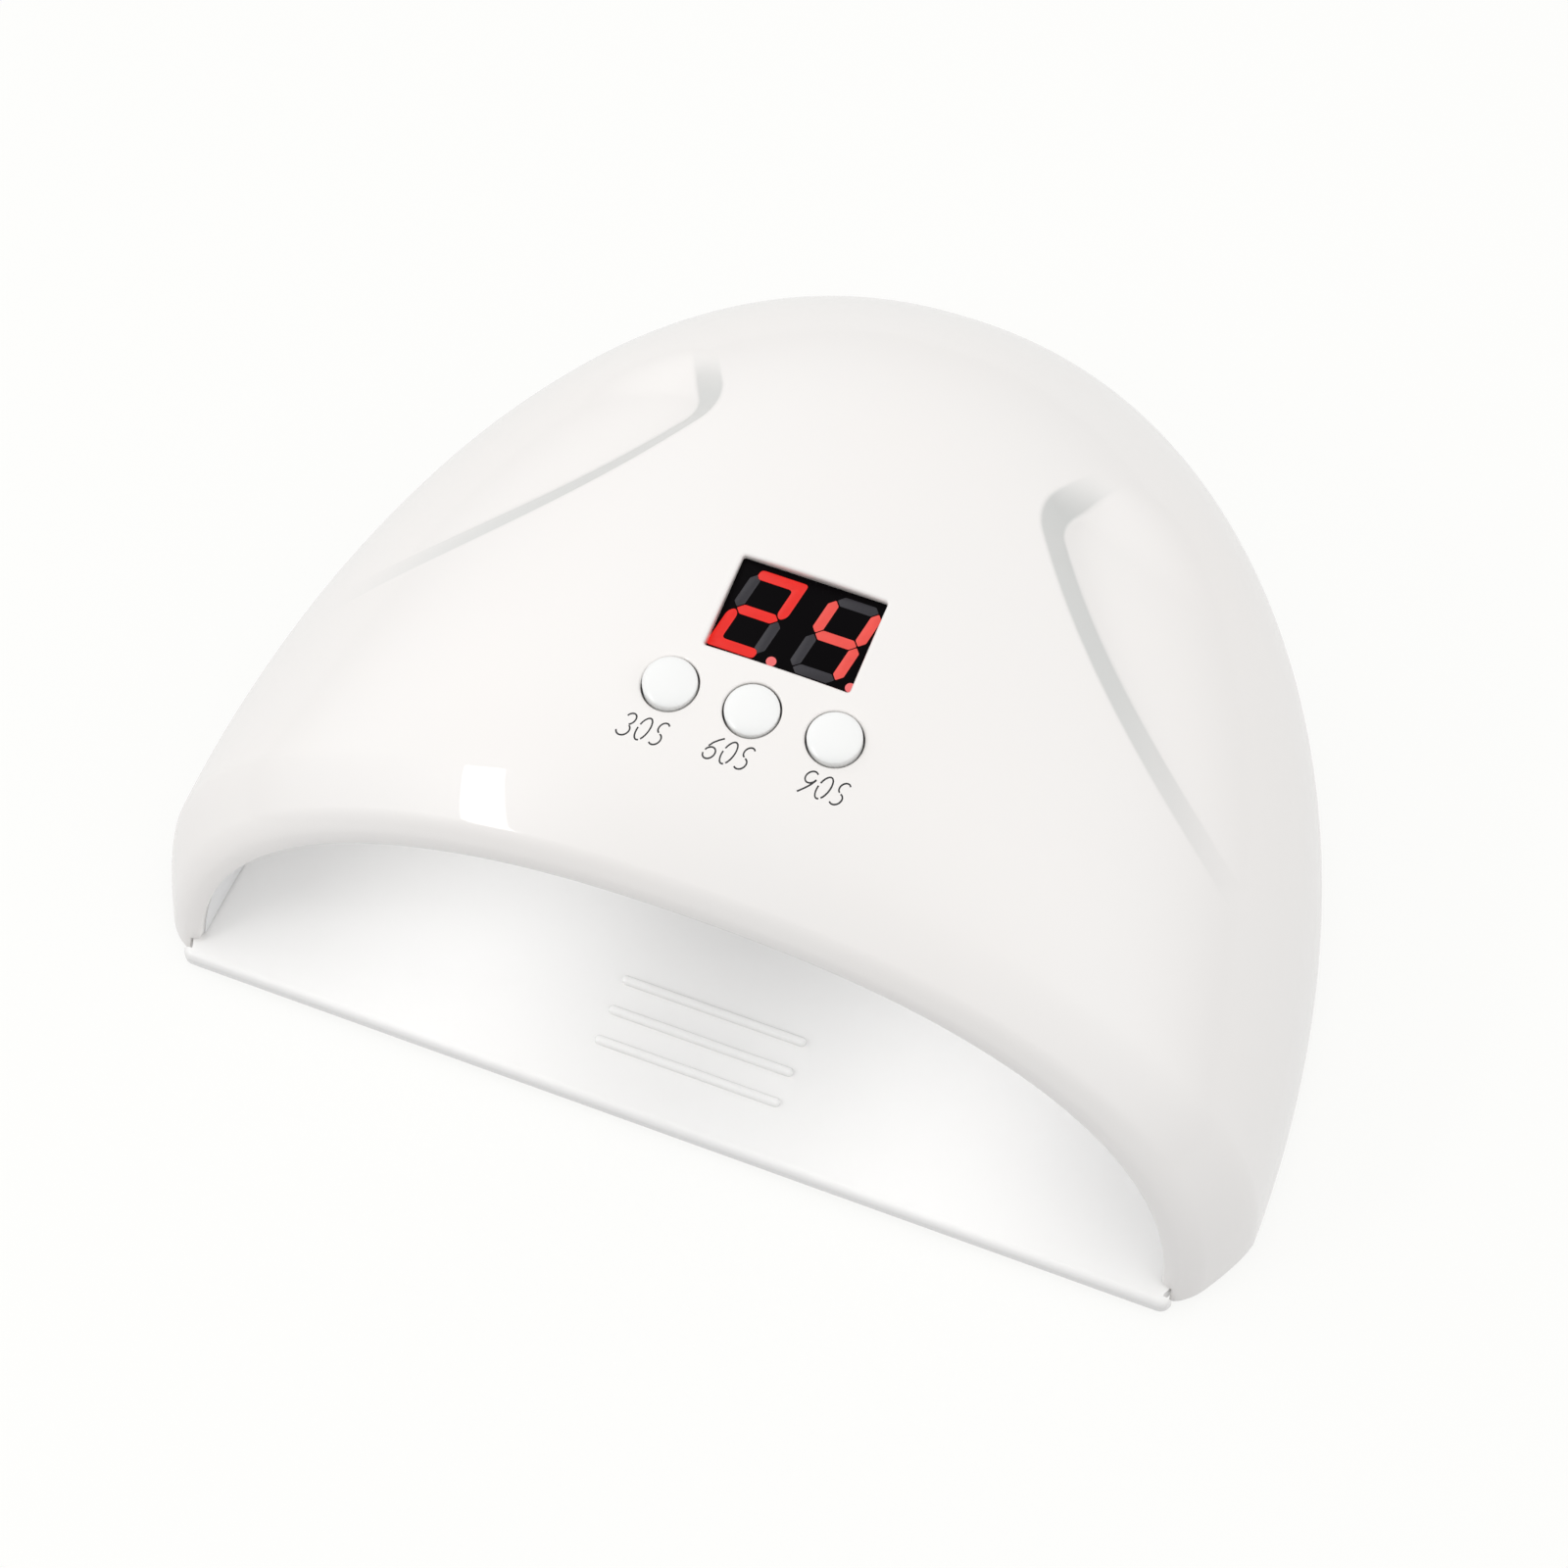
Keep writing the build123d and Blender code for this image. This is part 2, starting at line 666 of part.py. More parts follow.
with BuildPart() as tray_feet:
    with BuildSketch():
        with Locations(foot_spots):
            Circle(foot_radius)
    extrude(amount=tray_bottom + foot_recess)
tray_feet.part.label = "tray_feet"
export_step(tray_feet.part, "parts/tray_feet.step")

# Lamp strips over the outside of the tunnel, with their beads looking in through its holes
for name, depth in zip(strip_names, strip_depths):
    width, height = strip_arch(depth)
    sweep_angle = 180 - 2 * strip_end_angle
    turns = [strip_end_angle + sweep_angle * i / strip_steps for i in range(strip_steps + 1)]
    angles = [radians(turn) for turn in turns]
    outer_size = (width + strip_thickness, height + strip_thickness)
    with BuildPart() as lamp_strip:
        with BuildSketch(station(depth)):
            with BuildLine():
                inner = Spline(arch_points(depth, width, height, angles))
                outer = Spline(arch_points(depth, *outer_size, angles))
                Line(inner @ 0, outer @ 0)
                Line(inner @ 1, outer @ 1)
            make_face()
        extrude(amount=strip_width / 2, both=True)
    lamp_strip.part.label = f"lamp_strip_{name}"
    export_step(lamp_strip.part, f"parts/lamp_strip_{name}.step")
    with BuildPart() as lamp_beads:
        for spot, length in bead_spots(depth):
            side_view = Plane(origin=spot.origin, x_dir=spot.x_dir, z_dir=-spot.y_dir)
            halfway = bead_radius / 2
            with BuildSketch(side_view):
                with BuildLine():
                    Polyline(
                        (0, -length),
                        (0, -bead_seat),
                        (bead_radius, -bead_seat),
                        (bead_radius, bead_crown - length),
                    )
                    ThreePointArc(
                        (bead_radius, bead_crown - length),
                        (halfway, crown_fall(bead_radius, bead_crown, halfway) - length),
                        (0, -length),
                    )
                make_face()
            revolve(axis=Axis(origin=spot.origin, direction=spot.z_dir))
    lamp_beads.part.label = f"lamp_beads_{name}"
    export_step(lamp_beads.part, f"parts/lamp_beads_{name}.step")

# Control board with its parts, all laid out in the panel's plane
with BuildPart() as control_board:
    with BuildSketch(panel.offset(board_bottom)):
        with Locations((0, board_shift)):
            RectangleRounded(*board_size[:2], board_corner)
        with Locations(board_spots):
            Circle(screw_radius + case_hole_slack, mode=Mode.SUBTRACT)
        with Locations(pin_spots):
            Circle(pin_hole_radius, mode=Mode.SUBTRACT)
    extrude(amount=board_size[2])
control_board.part.label = "control_board"
export_step(control_board.part, "parts/control_board.step")

with BuildPart() as board_screws:
    with BuildSketch(panel.offset(board_bottom)):
        with Locations(board_spots):
            Circle(screw_head[0])
    extrude(amount=-screw_head[1])
    with BuildSketch(panel.offset(board_bottom)):
        with Locations(board_spots):
            Circle(screw_radius)
    extrude(amount=screw_length)
board_screws.part.label = "board_screws"
export_step(board_screws.part, "parts/board_screws.step")


def slanted(x, y, middle_x):
    """Point of a digit leaned to the right by the slant."""
    return (middle_x + x + y * tan(radians(digit_slant)), y)


def segment_points(letter, middle_x):
    """Corners of one bar of a digit: a long hexagon between two of its corners."""
    high, wide, thick = digit_half_height, digit_half_width, segment_width / 2
    level = {"a": high, "g": 0.0, "d": -high}
    side = {"b": (wide, 1), "c": (wide, -1), "f": (-wide, 1), "e": (-wide, -1)}
    if letter in level:
        y = level[letter]
        reach = wide - segment_gap
        ends = [(-reach, y), (thick - reach, y + thick), (reach - thick, y + thick)]
        ends += [(reach, y), (reach - thick, y - thick), (thick - reach, y - thick)]
    else:
        x, way = side[letter]
        near, far = way * segment_gap, way * (high - segment_gap)
        ends = [(x, near), (x + thick, near + way * thick), (x + thick, far - way * thick)]
        ends += [(x, far), (x - thick, far - way * thick), (x - thick, near + way * thick)]
    return [slanted(px, py, middle_x) for px, py in ends]


digit_middles = (-digit_pitch / 2, digit_pitch / 2)
digits_lit = ("abged", "fgbc")
digits_dark = ("fc", "aed")


def segments(letters_by_digit, dots):
    """Bars of both digits as separate solids, with or without the dots."""
    with BuildPart() as bars:
        with BuildSketch(panel.offset(-display_drop)):
            for middle_x, letters in zip(digit_middles, letters_by_digit):
                for letter in letters:
                    with BuildLine():
                        Polyline(*segment_points(letter, middle_x), close=True)
                    make_face()
                if dots:
                    with Locations((middle_x + dot_offset[0], dot_offset[1])):
                        Circle(dot_radius)
        extrude(amount=-segment_depth)
    return bars.part


with BuildPart() as display_lit_segments:
    add(segments(digits_lit, dots=True))
display_lit_segments.part.label = "display_lit_segments"
export_step(display_lit_segments.part, "parts/display_lit_segments.step")

with BuildPart() as display_dark_segments:
    add(segments(digits_dark, dots=False))
display_dark_segments.part.label = "display_dark_segments"
export_step(display_dark_segments.part, "parts/display_dark_segments.step")

with BuildPart() as display_housing:
    with BuildSketch(panel.offset(-display_drop)):
        Rectangle(*display_size[:2])
    extrude(amount=-display_size[2])
    add(display_lit_segments.part, mode=Mode.SUBTRACT)
    add(display_dark_segments.part, mode=Mode.SUBTRACT)
display_housing.part.label = "display_housing"
export_step(display_housing.part, "parts/display_housing.step")

with BuildPart() as display_pins:
    with BuildSketch(panel.offset(board_top)):
        with Locations(pin_spots):
            Circle(pin_radius)
    extrude(amount=-(board_size[2] + pin_tail))
display_pins.part.label = "display_pins"
export_step(display_pins.part, "parts/display_pins.step")

# Push buttons, each with the plunger of its switch below it
cap_side = button_rise - button_crown
halfway = button_radius / 2
halfway_height = button_rise - crown_fall(button_radius, button_crown, halfway)
flange_base = -(button_seat + button_flange)
switch_top = board_top + switch_height
for name, (x, y) in zip(button_names, button_spots):
    foot = panel.from_local_coords((x, y, 0))
    profile_plane = Plane(origin=foot, x_dir=(1, 0, 0), z_dir=-panel.y_dir)
    with BuildPart() as button:
        with BuildSketch(profile_plane):
            with BuildLine():
                Polyline(
                    (0, button_rise),
                    (0, flange_base),
                    (button_flange_radius, flange_base),
                    (button_flange_radius, -button_seat),
                    (button_radius, -button_seat),
                    (button_radius, cap_side),
                )
                ThreePointArc((button_radius, cap_side), (halfway, halfway_height), (0, button_rise))
            make_face()
        revolve(axis=Axis(origin=foot, direction=panel.z_dir))
    button.part.label = f"button_{name}"
    export_step(button.part, f"parts/button_{name}.step")
    with BuildPart() as switch_plunger:
        with BuildSketch(panel.offset(flange_base)):
            with Locations((x, y)):
                Circle(plunger_radius)
        extrude(amount=switch_top - plunger_root - flange_base)
    switch_plunger.part.label = f"switch_plunger_{name}"
    export_step(switch_plunger.part, f"parts/switch_plunger_{name}.step")
    with BuildPart() as switch_body:
        with BuildSketch(panel.offset(board_top)):
            with Locations((x, y)):
                Rectangle(switch_size, switch_size)
        extrude(amount=switch_height)
        with BuildSketch(panel.offset(switch_top)):
            with Locations((x, y)):
                Circle(plunger_radius + plunger_slack)
        extrude(amount=-(plunger_root + button_travel + button_gap), mode=Mode.SUBTRACT)
    switch_body.part.label = f"switch_body_{name}"
    export_step(switch_body.part, f"parts/switch_body_{name}.step")

# Parts on the board
with BuildPart() as control_chip:
    with BuildSketch(panel.offset(board_bottom)):
        with Locations(chip_at):
            Rectangle(*chip_size[:2])
    extrude(amount=-chip_size[2])
    with BuildSketch(panel.offset(board_bottom)):
        with Locations(chip_at):
            with GridLocations(chip_leg_pitch, chip_size[1] + chip_leg[1], chip_leg_count, 2):
                Rectangle(*chip_leg[:2])
    extrude(amount=-chip_leg[2])
control_chip.part.label = "control_chip"
export_step(control_chip.part, "parts/control_chip.step")

with BuildPart() as filter_capacitor:
    rest = panel.offset(board_top + capacitor_radius)
    axle = Plane(
        origin=rest.from_local_coords((capacitor_at[0] - capacitor_length / 2, capacitor_at[1], 0)),
        x_dir=panel.y_dir,
        z_dir=(1, 0, 0),
    )
    with BuildSketch(axle):
        Circle(capacitor_radius)
    extrude(amount=capacitor_length)
filter_capacitor.part.label = "filter_capacitor"
export_step(filter_capacitor.part, "parts/filter_capacitor.step")

with BuildPart() as power_inductor:
    with BuildSketch(panel.offset(board_bottom)):
        with Locations(inductor_at):
            Circle(inductor_radius)
    extrude(amount=-inductor_height)
power_inductor.part.label = "power_inductor"
export_step(power_inductor.part, "parts/power_inductor.step")

for name, side in (("power", -1), ("lamp", 1)):
    with BuildPart() as connector:
        with BuildSketch(panel.offset(board_top)):
            with Locations((side * connector_at[0], connector_at[1])):
                Rectangle(*connector_size[:2])
        extrude(amount=connector_size[2])
    connector.part.label = f"{name}_connector"
    export_step(connector.part, f"parts/{name}_connector.step")

# Power inlet: a threaded jack clamped in the flat on the back
jack_face = jack_plane.offset(-jack_slack)
barrel_end = jack_slack + jack_flange[1] + jack_barrel[1]
with BuildPart() as power_jack:
    with BuildSketch(jack_face):
        Circle(jack_flange[0])
    extrude(amount=-jack_flange[1])
    with BuildSketch(jack_face.offset(-jack_flange[1])):
        Circle(jack_barrel[0])
    extrude(amount=-jack_barrel[1])
    with BuildSketch(jack_face):
        Circle(jack_bore[0])
    extrude(amount=-jack_bore[1], mode=Mode.SUBTRACT)
power_jack.part.label = "power_jack"
export_step(power_jack.part, "parts/power_jack.step")

with BuildPart() as jack_pin_part:
    with BuildSketch(jack_face.offset(-jack_bore[1])):
        Circle(jack_pin[0])
    extrude(amount=jack_pin[1])
jack_pin_part.part.label = "jack_pin"
export_step(jack_pin_part.part, "parts/jack_pin.step")

with BuildPart() as jack_nut:
    with BuildSketch(jack_plane.offset(-(wall + jack_pad[1]))):
        RegularPolygon(nut_across / 2, 6, major_radius=False)
        Circle(jack_barrel[0] + screw_slack, mode=Mode.SUBTRACT)
    extrude(amount=-nut_thickness)
jack_nut.part.label = "jack_nut"
export_step(jack_nut.part, "parts/jack_nut.step")

with BuildPart() as jack_tabs:
    with BuildSketch(jack_plane.offset(-barrel_end)):
        with Locations((-tab_offset, 0), (tab_offset, 0)):
            Rectangle(*tab_size[:2])
    extrude(amount=-tab_size[2])
jack_tabs.part.label = "jack_tabs"
export_step(jack_tabs.part, "parts/jack_tabs.step")


def wire_bends(points):
    """Radius of each bend of a wire: as large as its two runs allow."""
    corners = [Vector(*p) for p in points]
    radii = []
    for before, corner, after in zip(corners, corners[1:], corners[2:]):
        first, second = corner - before, after - corner
        turn = radians(first.get_angle(second))
        radii.append(bend_share * min(first.length, second.length) / tan(turn / 2))
    return radii


def wire(points):
    """Round wire along straight runs joined by tangent arcs."""
    bends = wire_bends(points)
    with BuildPart() as lead:
        with BuildLine():
            course = FilletPolyline(*points, radius=bends)
        with BuildSketch(Plane(origin=course @ 0, z_dir=course % 0)):
            Circle(wire_radius)
        sweep(path=course)
    print("wire bends", [round(r, 1) for r in bends])
    return lead.part


def strip_edge(depth, x, back):
    """Top of a strip at a place across it, on its middle line or behind that by an amount."""
    width, height = (size + strip_thickness for size in strip_arch(depth))
    power = squareness(depth)
    rise = height * (1 - (abs(x) / width) ** power) ** (1 / power)
    stretch = sqrt(1 + lean(depth) ** 2)
    return station(depth).from_local_coords(Vector(x, (skirt_gap + rise) * stretch, -back))


connector_back = connector_at[1] + connector_size[1] / 2
tab_end = tail_depth - barrel_end - tab_size[2]
with BuildPart() as jack_leads:
    for side in (-1, 1):
        start = (-connector_at[0] + side * wire_pitch / 2, connector_back, board_top + wire_height)
        leave = (start[0], start[1] + wire_start, start[2])
        x_end = side * tab_offset
        add(
            wire(
                [
                    tuple(panel.from_local_coords(start)),
                    tuple(panel.from_local_coords(leave)),
                    (side * wire_pitch / 2 - jack_wire_over[0], at(jack_wire_over[1]), jack_wire_over[2]),
                    (x_end, at(tab_end + jack_wire_drop[0]), jack_wire_drop[1]),
                    (x_end, at(tab_end + jack_wire_drop[0]), jack_height + tab_size[1] / 2),
                ]
            )
        )
jack_leads.part.label = "jack_leads"
export_step(jack_leads.part, "parts/jack_leads.step")

with BuildPart() as lamp_leads:
    for side in (-1, 1):
        start = (connector_at[0] + side * wire_pitch / 2, connector_back, board_top + wire_height)
        leave = (start[0], start[1] + wire_start, start[2])
        x_end = start[0]
        landing = strip_edge(strip_depths[2], x_end, 0)
        add(
            wire(
                [
                    tuple(panel.from_local_coords(start)),
                    tuple(panel.from_local_coords(leave)),
                    tuple(landing + Vector(0, 0, strip_wire_drop)),
                    tuple(landing + Vector(0, 0, wire_radius / 2)),
                ]
            )
        )
lamp_leads.part.label = "lamp_leads"
export_step(lamp_leads.part, "parts/lamp_leads.step")

# Bare jumpers from strip to strip, resting on both
jumper_lift = Vector(0, 0, jumper_radius + jumper_rest)
with BuildPart() as strip_jumpers:
    for near, far in zip(strip_depths, strip_depths[1:]):
        for x in (-jumper_half_pitch, jumper_half_pitch):
            edge = strip_edge(near, x, strip_width / 2) + jumper_lift
            last = strip_edge(far, x, jumper_overlap - strip_width / 2) + jumper_lift
            first = edge - (last - edge).normalized() * jumper_overlap
            with BuildSketch(Plane(origin=first, z_dir=last - first)):
                Circle(jumper_radius)
            extrude(amount=(last - first).length)
strip_jumpers.part.label = "strip_jumpers"
export_step(strip_jumpers.part, "parts/strip_jumpers.step")
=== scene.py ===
"""Looks of a white nail lamp: domed shell, curing tunnel, tray, timer panel and push buttons.

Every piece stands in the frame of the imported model: +X to the right, +Y to the back, +Z up and
the table at z = 0. Sizes are in millimetres and become metres when a mesh is made. Depths run
back from the front edge of the shell.
"""

from __future__ import annotations

import json
import logging
import math
from collections.abc import Callable, Sequence
from dataclasses import dataclass, field
from enum import Enum
from typing import Any

import bmesh
import bpy
import numpy as np
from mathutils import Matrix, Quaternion, Vector
from mathutils.geometry import delaunay_2d_cdt
from mathutils.kdtree import KDTree

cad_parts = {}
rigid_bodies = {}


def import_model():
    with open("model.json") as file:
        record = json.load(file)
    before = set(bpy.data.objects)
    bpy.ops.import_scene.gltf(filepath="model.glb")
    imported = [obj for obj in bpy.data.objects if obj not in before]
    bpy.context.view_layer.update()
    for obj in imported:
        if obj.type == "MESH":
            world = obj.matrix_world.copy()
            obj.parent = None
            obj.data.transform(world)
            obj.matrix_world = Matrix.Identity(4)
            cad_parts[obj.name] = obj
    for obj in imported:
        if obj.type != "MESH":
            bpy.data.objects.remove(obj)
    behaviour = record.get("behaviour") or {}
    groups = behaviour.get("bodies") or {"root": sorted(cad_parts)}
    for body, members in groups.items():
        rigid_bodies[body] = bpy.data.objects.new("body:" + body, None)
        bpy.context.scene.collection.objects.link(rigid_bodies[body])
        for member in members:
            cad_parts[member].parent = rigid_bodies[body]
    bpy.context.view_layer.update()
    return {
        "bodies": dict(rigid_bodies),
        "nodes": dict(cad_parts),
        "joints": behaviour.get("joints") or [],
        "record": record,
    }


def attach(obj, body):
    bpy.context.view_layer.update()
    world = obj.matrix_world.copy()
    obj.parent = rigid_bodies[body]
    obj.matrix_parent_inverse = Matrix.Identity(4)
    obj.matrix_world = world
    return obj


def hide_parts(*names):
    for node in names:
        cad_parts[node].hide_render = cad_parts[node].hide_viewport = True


LOG = logging.getLogger("nail_lamp")
MM = 0.001
# Name of the point attribute that holds the share of painted shade on the shell's scoop facets.
PAINTED_SHADE_SHARE = "painted_shade_share"
MIDDLE_DEPTH = 71.2
NOISE_MEAN = 0.5
ARC_SHARE = 0.3
ROUND_SHARE = 0.45
CORNER_STEPS = 4
BOW_STEP = 15.0
SAME_SPOT = 1e-7
TINY = 1e-12
TIMES = ("30", "60", "90")
STRIPS = (("front", 24.0), ("middle", 57.0), ("rear", 90.0))
Pair = tuple[float, float]
Place = tuple[float, float, float]
Colour = tuple[float, float, float]
Array = np.ndarray
TwoArrays = tuple[Array, Array]
TO_FRONT = np.array([0.0, MIDDLE_DEPTH])


class Body(Enum):
    """Bodies of the lamp that pieces ride on."""

    SHELL = "shell"
    BUTTON_30 = "button_30"
    BUTTON_60 = "button_60"
    BUTTON_90 = "button_90"


def ease(value: Array) -> Array:
    """Smooth step from 0 to 1 of a value between 0 and 1."""
    part = np.clip(value, 0.0, 1.0)
    return part * part * (3.0 - 2.0 * part)


class Signal:
    """Output socket of a shader tree that takes part in arithmetic."""

    def __init__(self, tree: ShaderTree, socket: bpy.types.NodeSocket) -> None:
        """Wraps a socket of a tree."""
        self.tree = tree
        self.socket = socket

    def _maths(self, operation: str, first: Any, second: Any) -> Signal:
        """Result of a Math node on two values or signals."""
        return self.tree.make("ShaderNodeMath", {"operation": operation}, {0: first, 1: second})

    def __add__(self, other: Any) -> Signal:
        """Sum with a value or signal."""
        return self._maths("ADD", self, other)

    def __radd__(self, other: Any) -> Signal:
        """Sum with a value on the left."""
        return self._maths("ADD", other, self)

    def __sub__(self, other: Any) -> Signal:
        """Difference from a value or signal."""
        return self._maths("SUBTRACT", self, other)

    def __rsub__(self, other: Any) -> Signal:
        """Difference of a value on the left."""
        return self._maths("SUBTRACT", other, self)

    def __mul__(self, other: Any) -> Signal:
        """Product with a value or signal."""
        return self._maths("MULTIPLY", self, other)

    def __rmul__(self, other: Any) -> Signal:
        """Product with a value on the left."""
        return self._maths("MULTIPLY", other, self)

    def above(self, level: float) -> Signal:
        """1 where the signal is greater than a level, else 0."""
        return self._maths("GREATER_THAN", self, level)


class ShaderTree:
    """Node tree of one material or world."""

    def __init__(self, tree: bpy.types.NodeTree) -> None:
        """Empties a node tree to draw it anew."""
        self.tree = tree
        tree.nodes.clear()

    def make(
        self,
        kind: str,
        settings: dict[str, Any] | None = None,
        sockets: dict[int | str, Any] | None = None,
        output: int | str = 0,
    ) -> Signal:
        """Adds a node.

        Args:
            kind: The node's type.
            settings: Properties of the node, set before its sockets.
            sockets: Values or signals of its inputs, by name or number.
            output: Name or number of the output that is wanted.

        Returns:
            That output.
        """
        node = self.tree.nodes.new(kind)
        for name, value in (settings or {}).items():
            setattr(node, name, value)
        for name, value in (sockets or {}).items():
            if isinstance(value, Signal):
                self.tree.links.new(value.socket, node.inputs[name])
            elif node.inputs[name].type == "RGBA":
                node.inputs[name].default_value = (*value, 1.0)
            else:
                node.inputs[name].default_value = value
        return Signal(self, node.outputs[output])

    def noise(self, scale: float, detail: float = 2.0, stretch: Vector | None = None) -> Signal:
        """Adds noise over the piece.

        Args:
            scale: Waves for each metre.
            detail: Octaves of the noise.
            stretch: Scale of each axis, for streaks.

        Returns:
            The noise, about 0.5 on average.
        """
        place = self.make("ShaderNodeTexCoord", output="Object")
        if stretch is not None:
            place = self.make(
                "ShaderNodeVectorMath", {"operation": "MULTIPLY"}, {0: place, 1: stretch}
            )
        return self.make(
            "ShaderNodeTexNoise", sockets={"Vector": place, "Scale": scale, "Detail": detail}
        )

    def blend(self, factor: Signal | float, first: Any, second: Any) -> Signal:
        """Mix of two colours by the share of the second one."""
        sockets = {0: factor, 6: first, 7: second}
        return self.make("ShaderNodeMix", {"data_type": "RGBA"}, sockets, output=2)

    def bump(self, height: Signal, rise: float, strength: float = 1.0) -> Signal:
        """Normal bumped by a height signal, whose rise from 0 to 1 is in millimetres."""
        sockets = {"Height": height, "Distance": rise * MM, "Strength": strength}
        return self.make("ShaderNodeBump", sockets=sockets, output="Normal")

    def surface(self, sockets: dict[str, Any]) -> None:
        """Ends the tree with a Principled surface that has the given sockets."""
        shader = self.make("ShaderNodeBsdfPrincipled", sockets=sockets)
        self.make_output(shader)

    def make_output(self, shader: Signal, kind: str = "ShaderNodeOutputMaterial") -> None:
        """Ends the tree with a shader."""
        node = self.tree.nodes.new(kind)
        self.tree.links.new(shader.socket, node.inputs["Surface"])


def new_tree(name: str) -> tuple[bpy.types.Material, ShaderTree]:
    """Makes an empty material.

    Args:
        name: The material's name.

    Returns:
        The material and its node tree.
    """
    material = bpy.data.materials.new(name)
    material.use_nodes = True
    return material, ShaderTree(material.node_tree)


def shaded(colour: Colour, part: float) -> Colour:
    """A colour at a part of its strength."""
    return tuple(channel * part for channel in colour)


@dataclass(frozen=True)
class Coating:
    """What every finish is: a named material, drawn from the sockets of its surface."""

    name: str

    def sockets(self, tree: ShaderTree) -> dict[str, Any]:
        """Draws what the surface shows; each kind of finish has its own."""
        raise NotImplementedError

    def material(self) -> bpy.types.Material:
        """Draws the material.

        Returns:
            The material.
        """
        material, tree = new_tree(self.name)
        tree.surface(self.sockets(tree))
        return material


@dataclass(frozen=True)
class GlossPlastic(Coating):
    """Moulded plastic with a polished skin, faint clouds in its colour and a fine orange peel."""

    colour: Colour
    cloud: Colour
    roughness: float = 0.2
    coat: float = 0.3
    coat_roughness: float = 0.03
    cloud_scale: float = 14.0
    scuff_scale: float = 70.0
    scuff: float = 0.08
    peel_scale: float = 700.0
    peel_rise: float = 0.02
    peel_strength: float = 0.35
    index: float = 1.5
    # facet: colour of painted shade laid on the shell's scoop facets, standing in for their
    # shadow.
    facet: Colour | None = None

    def sockets(self, tree: ShaderTree) -> dict[str, Any]:
        """Draws the clouds, the scuffs, the orange peel and the painted shade on the shell's
        scoop facets.

        Args:
            tree: The material's tree.

        Returns:
            The surface's sockets.
        """
        clouds = tree.noise(self.cloud_scale, detail=3.0)
        peel = tree.noise(self.peel_scale, detail=1.0)
        scuffs = tree.noise(self.scuff_scale, detail=4.0)
        colour = tree.blend(clouds, self.colour, self.cloud)
        # Painted shade: the facet colour is mixed in by the share that the shell's point
        # attribute holds.
        if self.facet is not None:
            layer = {"attribute_name": PAINTED_SHADE_SHARE}
            share = tree.make("ShaderNodeAttribute", layer, output="Fac")
            colour = tree.blend(share, colour, self.facet)
        return {
            "Base Color": colour,
            "Roughness": self.roughness + (scuffs - NOISE_MEAN) * self.scuff,
            "Coat Weight": self.coat,
            "Coat Roughness": self.coat_roughness,
            "IOR": self.index,
            "Normal": tree.bump(peel, self.peel_rise, self.peel_strength),
        }


@dataclass(frozen=True)
class GrainPlastic(Coating):
    """Matt plastic or rubber with a spark-eroded grain."""

    colour: Colour
    roughness: float = 0.55
    scatter: float = 0.2
    grain_scale: float = 2600.0
    grain_rise: float = 0.05
    grain_strength: float = 0.6
    shade_scale: float = 90.0
    shade: float = 0.82

    def sockets(self, tree: ShaderTree) -> dict[str, Any]:
        """Draws the grain and a soft change of shade.

        Args:
            tree: The material's tree.

        Returns:
            The surface's sockets.
        """
        grain = tree.noise(self.grain_scale, detail=3.0)
        patches = tree.noise(self.shade_scale)
        return {
            "Base Color": tree.blend(patches, self.colour, shaded(self.colour, self.shade)),
            "Roughness": self.roughness + (grain - NOISE_MEAN) * self.scatter,
            "Normal": tree.bump(grain, self.grain_rise, self.grain_strength),
        }


@dataclass(frozen=True)
class TurnedMetal(Coating):
    """Bare or plated metal with fine machining streaks."""

    colour: Colour
    roughness: float = 0.28
    scatter: float = 0.2
    streak: Vector = field(default_factory=lambda: Vector((1.0, 1.0, 12.0)))
    streak_scale: float = 500.0
    streak_rise: float = 0.01
    streak_strength: float = 0.4
    tarnish_scale: float = 120.0
    tarnish: float = 0.5
    dull: float = 0.7

    def sockets(self, tree: ShaderTree) -> dict[str, Any]:
        """Draws the streaks and the tarnish.

        Args:
            tree: The material's tree.

        Returns:
            The surface's sockets.
        """
        streaks = tree.noise(self.streak_scale, detail=4.0, stretch=self.streak)
        tarnish = tree.noise(self.tarnish_scale, detail=3.0) * self.tarnish
        return {
            "Base Color": tree.blend(tarnish, self.colour, shaded(self.colour, self.dull)),
            "Metallic": 1.0,
            "Roughness": self.roughness + (streaks - NOISE_MEAN) * self.scatter,
            "Normal": tree.bump(streaks, self.streak_rise, self.streak_strength),
        }


@dataclass(frozen=True)
class SolderMask(Coating):
    """Circuit board under a coloured lacquer, its copper tracks showing as a lighter net."""

    lacquer: Colour
    track: Colour
    track_scale: float = 260.0
    track_width: float = 0.02
    track_offset: float = 0.37
    track_squash: float = 0.6
    track_rise: float = 0.04
    track_strength: float = 0.5
    roughness: float = 0.25
    scatter: float = 0.1
    scatter_scale: float = 400.0
    coat: float = 0.6
    coat_roughness: float = 0.1

    def sockets(self, tree: ShaderTree) -> dict[str, Any]:
        """Draws the tracks under the lacquer.

        Args:
            tree: The material's tree.

        Returns:
            The surface's sockets.
        """
        net = {
            "Vector": tree.make("ShaderNodeTexCoord", output="Object"),
            "Color1": (0.0, 0.0, 0.0),
            "Color2": (0.0, 0.0, 0.0),
            "Mortar": (1.0, 1.0, 1.0),
            "Scale": self.track_scale,
            "Mortar Size": self.track_width,
        }
        settings = {"offset": self.track_offset, "squash": self.track_squash}
        tracks = tree.make("ShaderNodeTexBrick", settings, net, output="Fac")
        return {
            "Base Color": tree.blend(tracks, self.lacquer, self.track),
            "Roughness": self.roughness + tree.noise(self.scatter_scale) * self.scatter,
            "Coat Weight": self.coat,
            "Coat Roughness": self.coat_roughness,
            "Normal": tree.bump(tracks, self.track_rise, self.track_strength),
        }


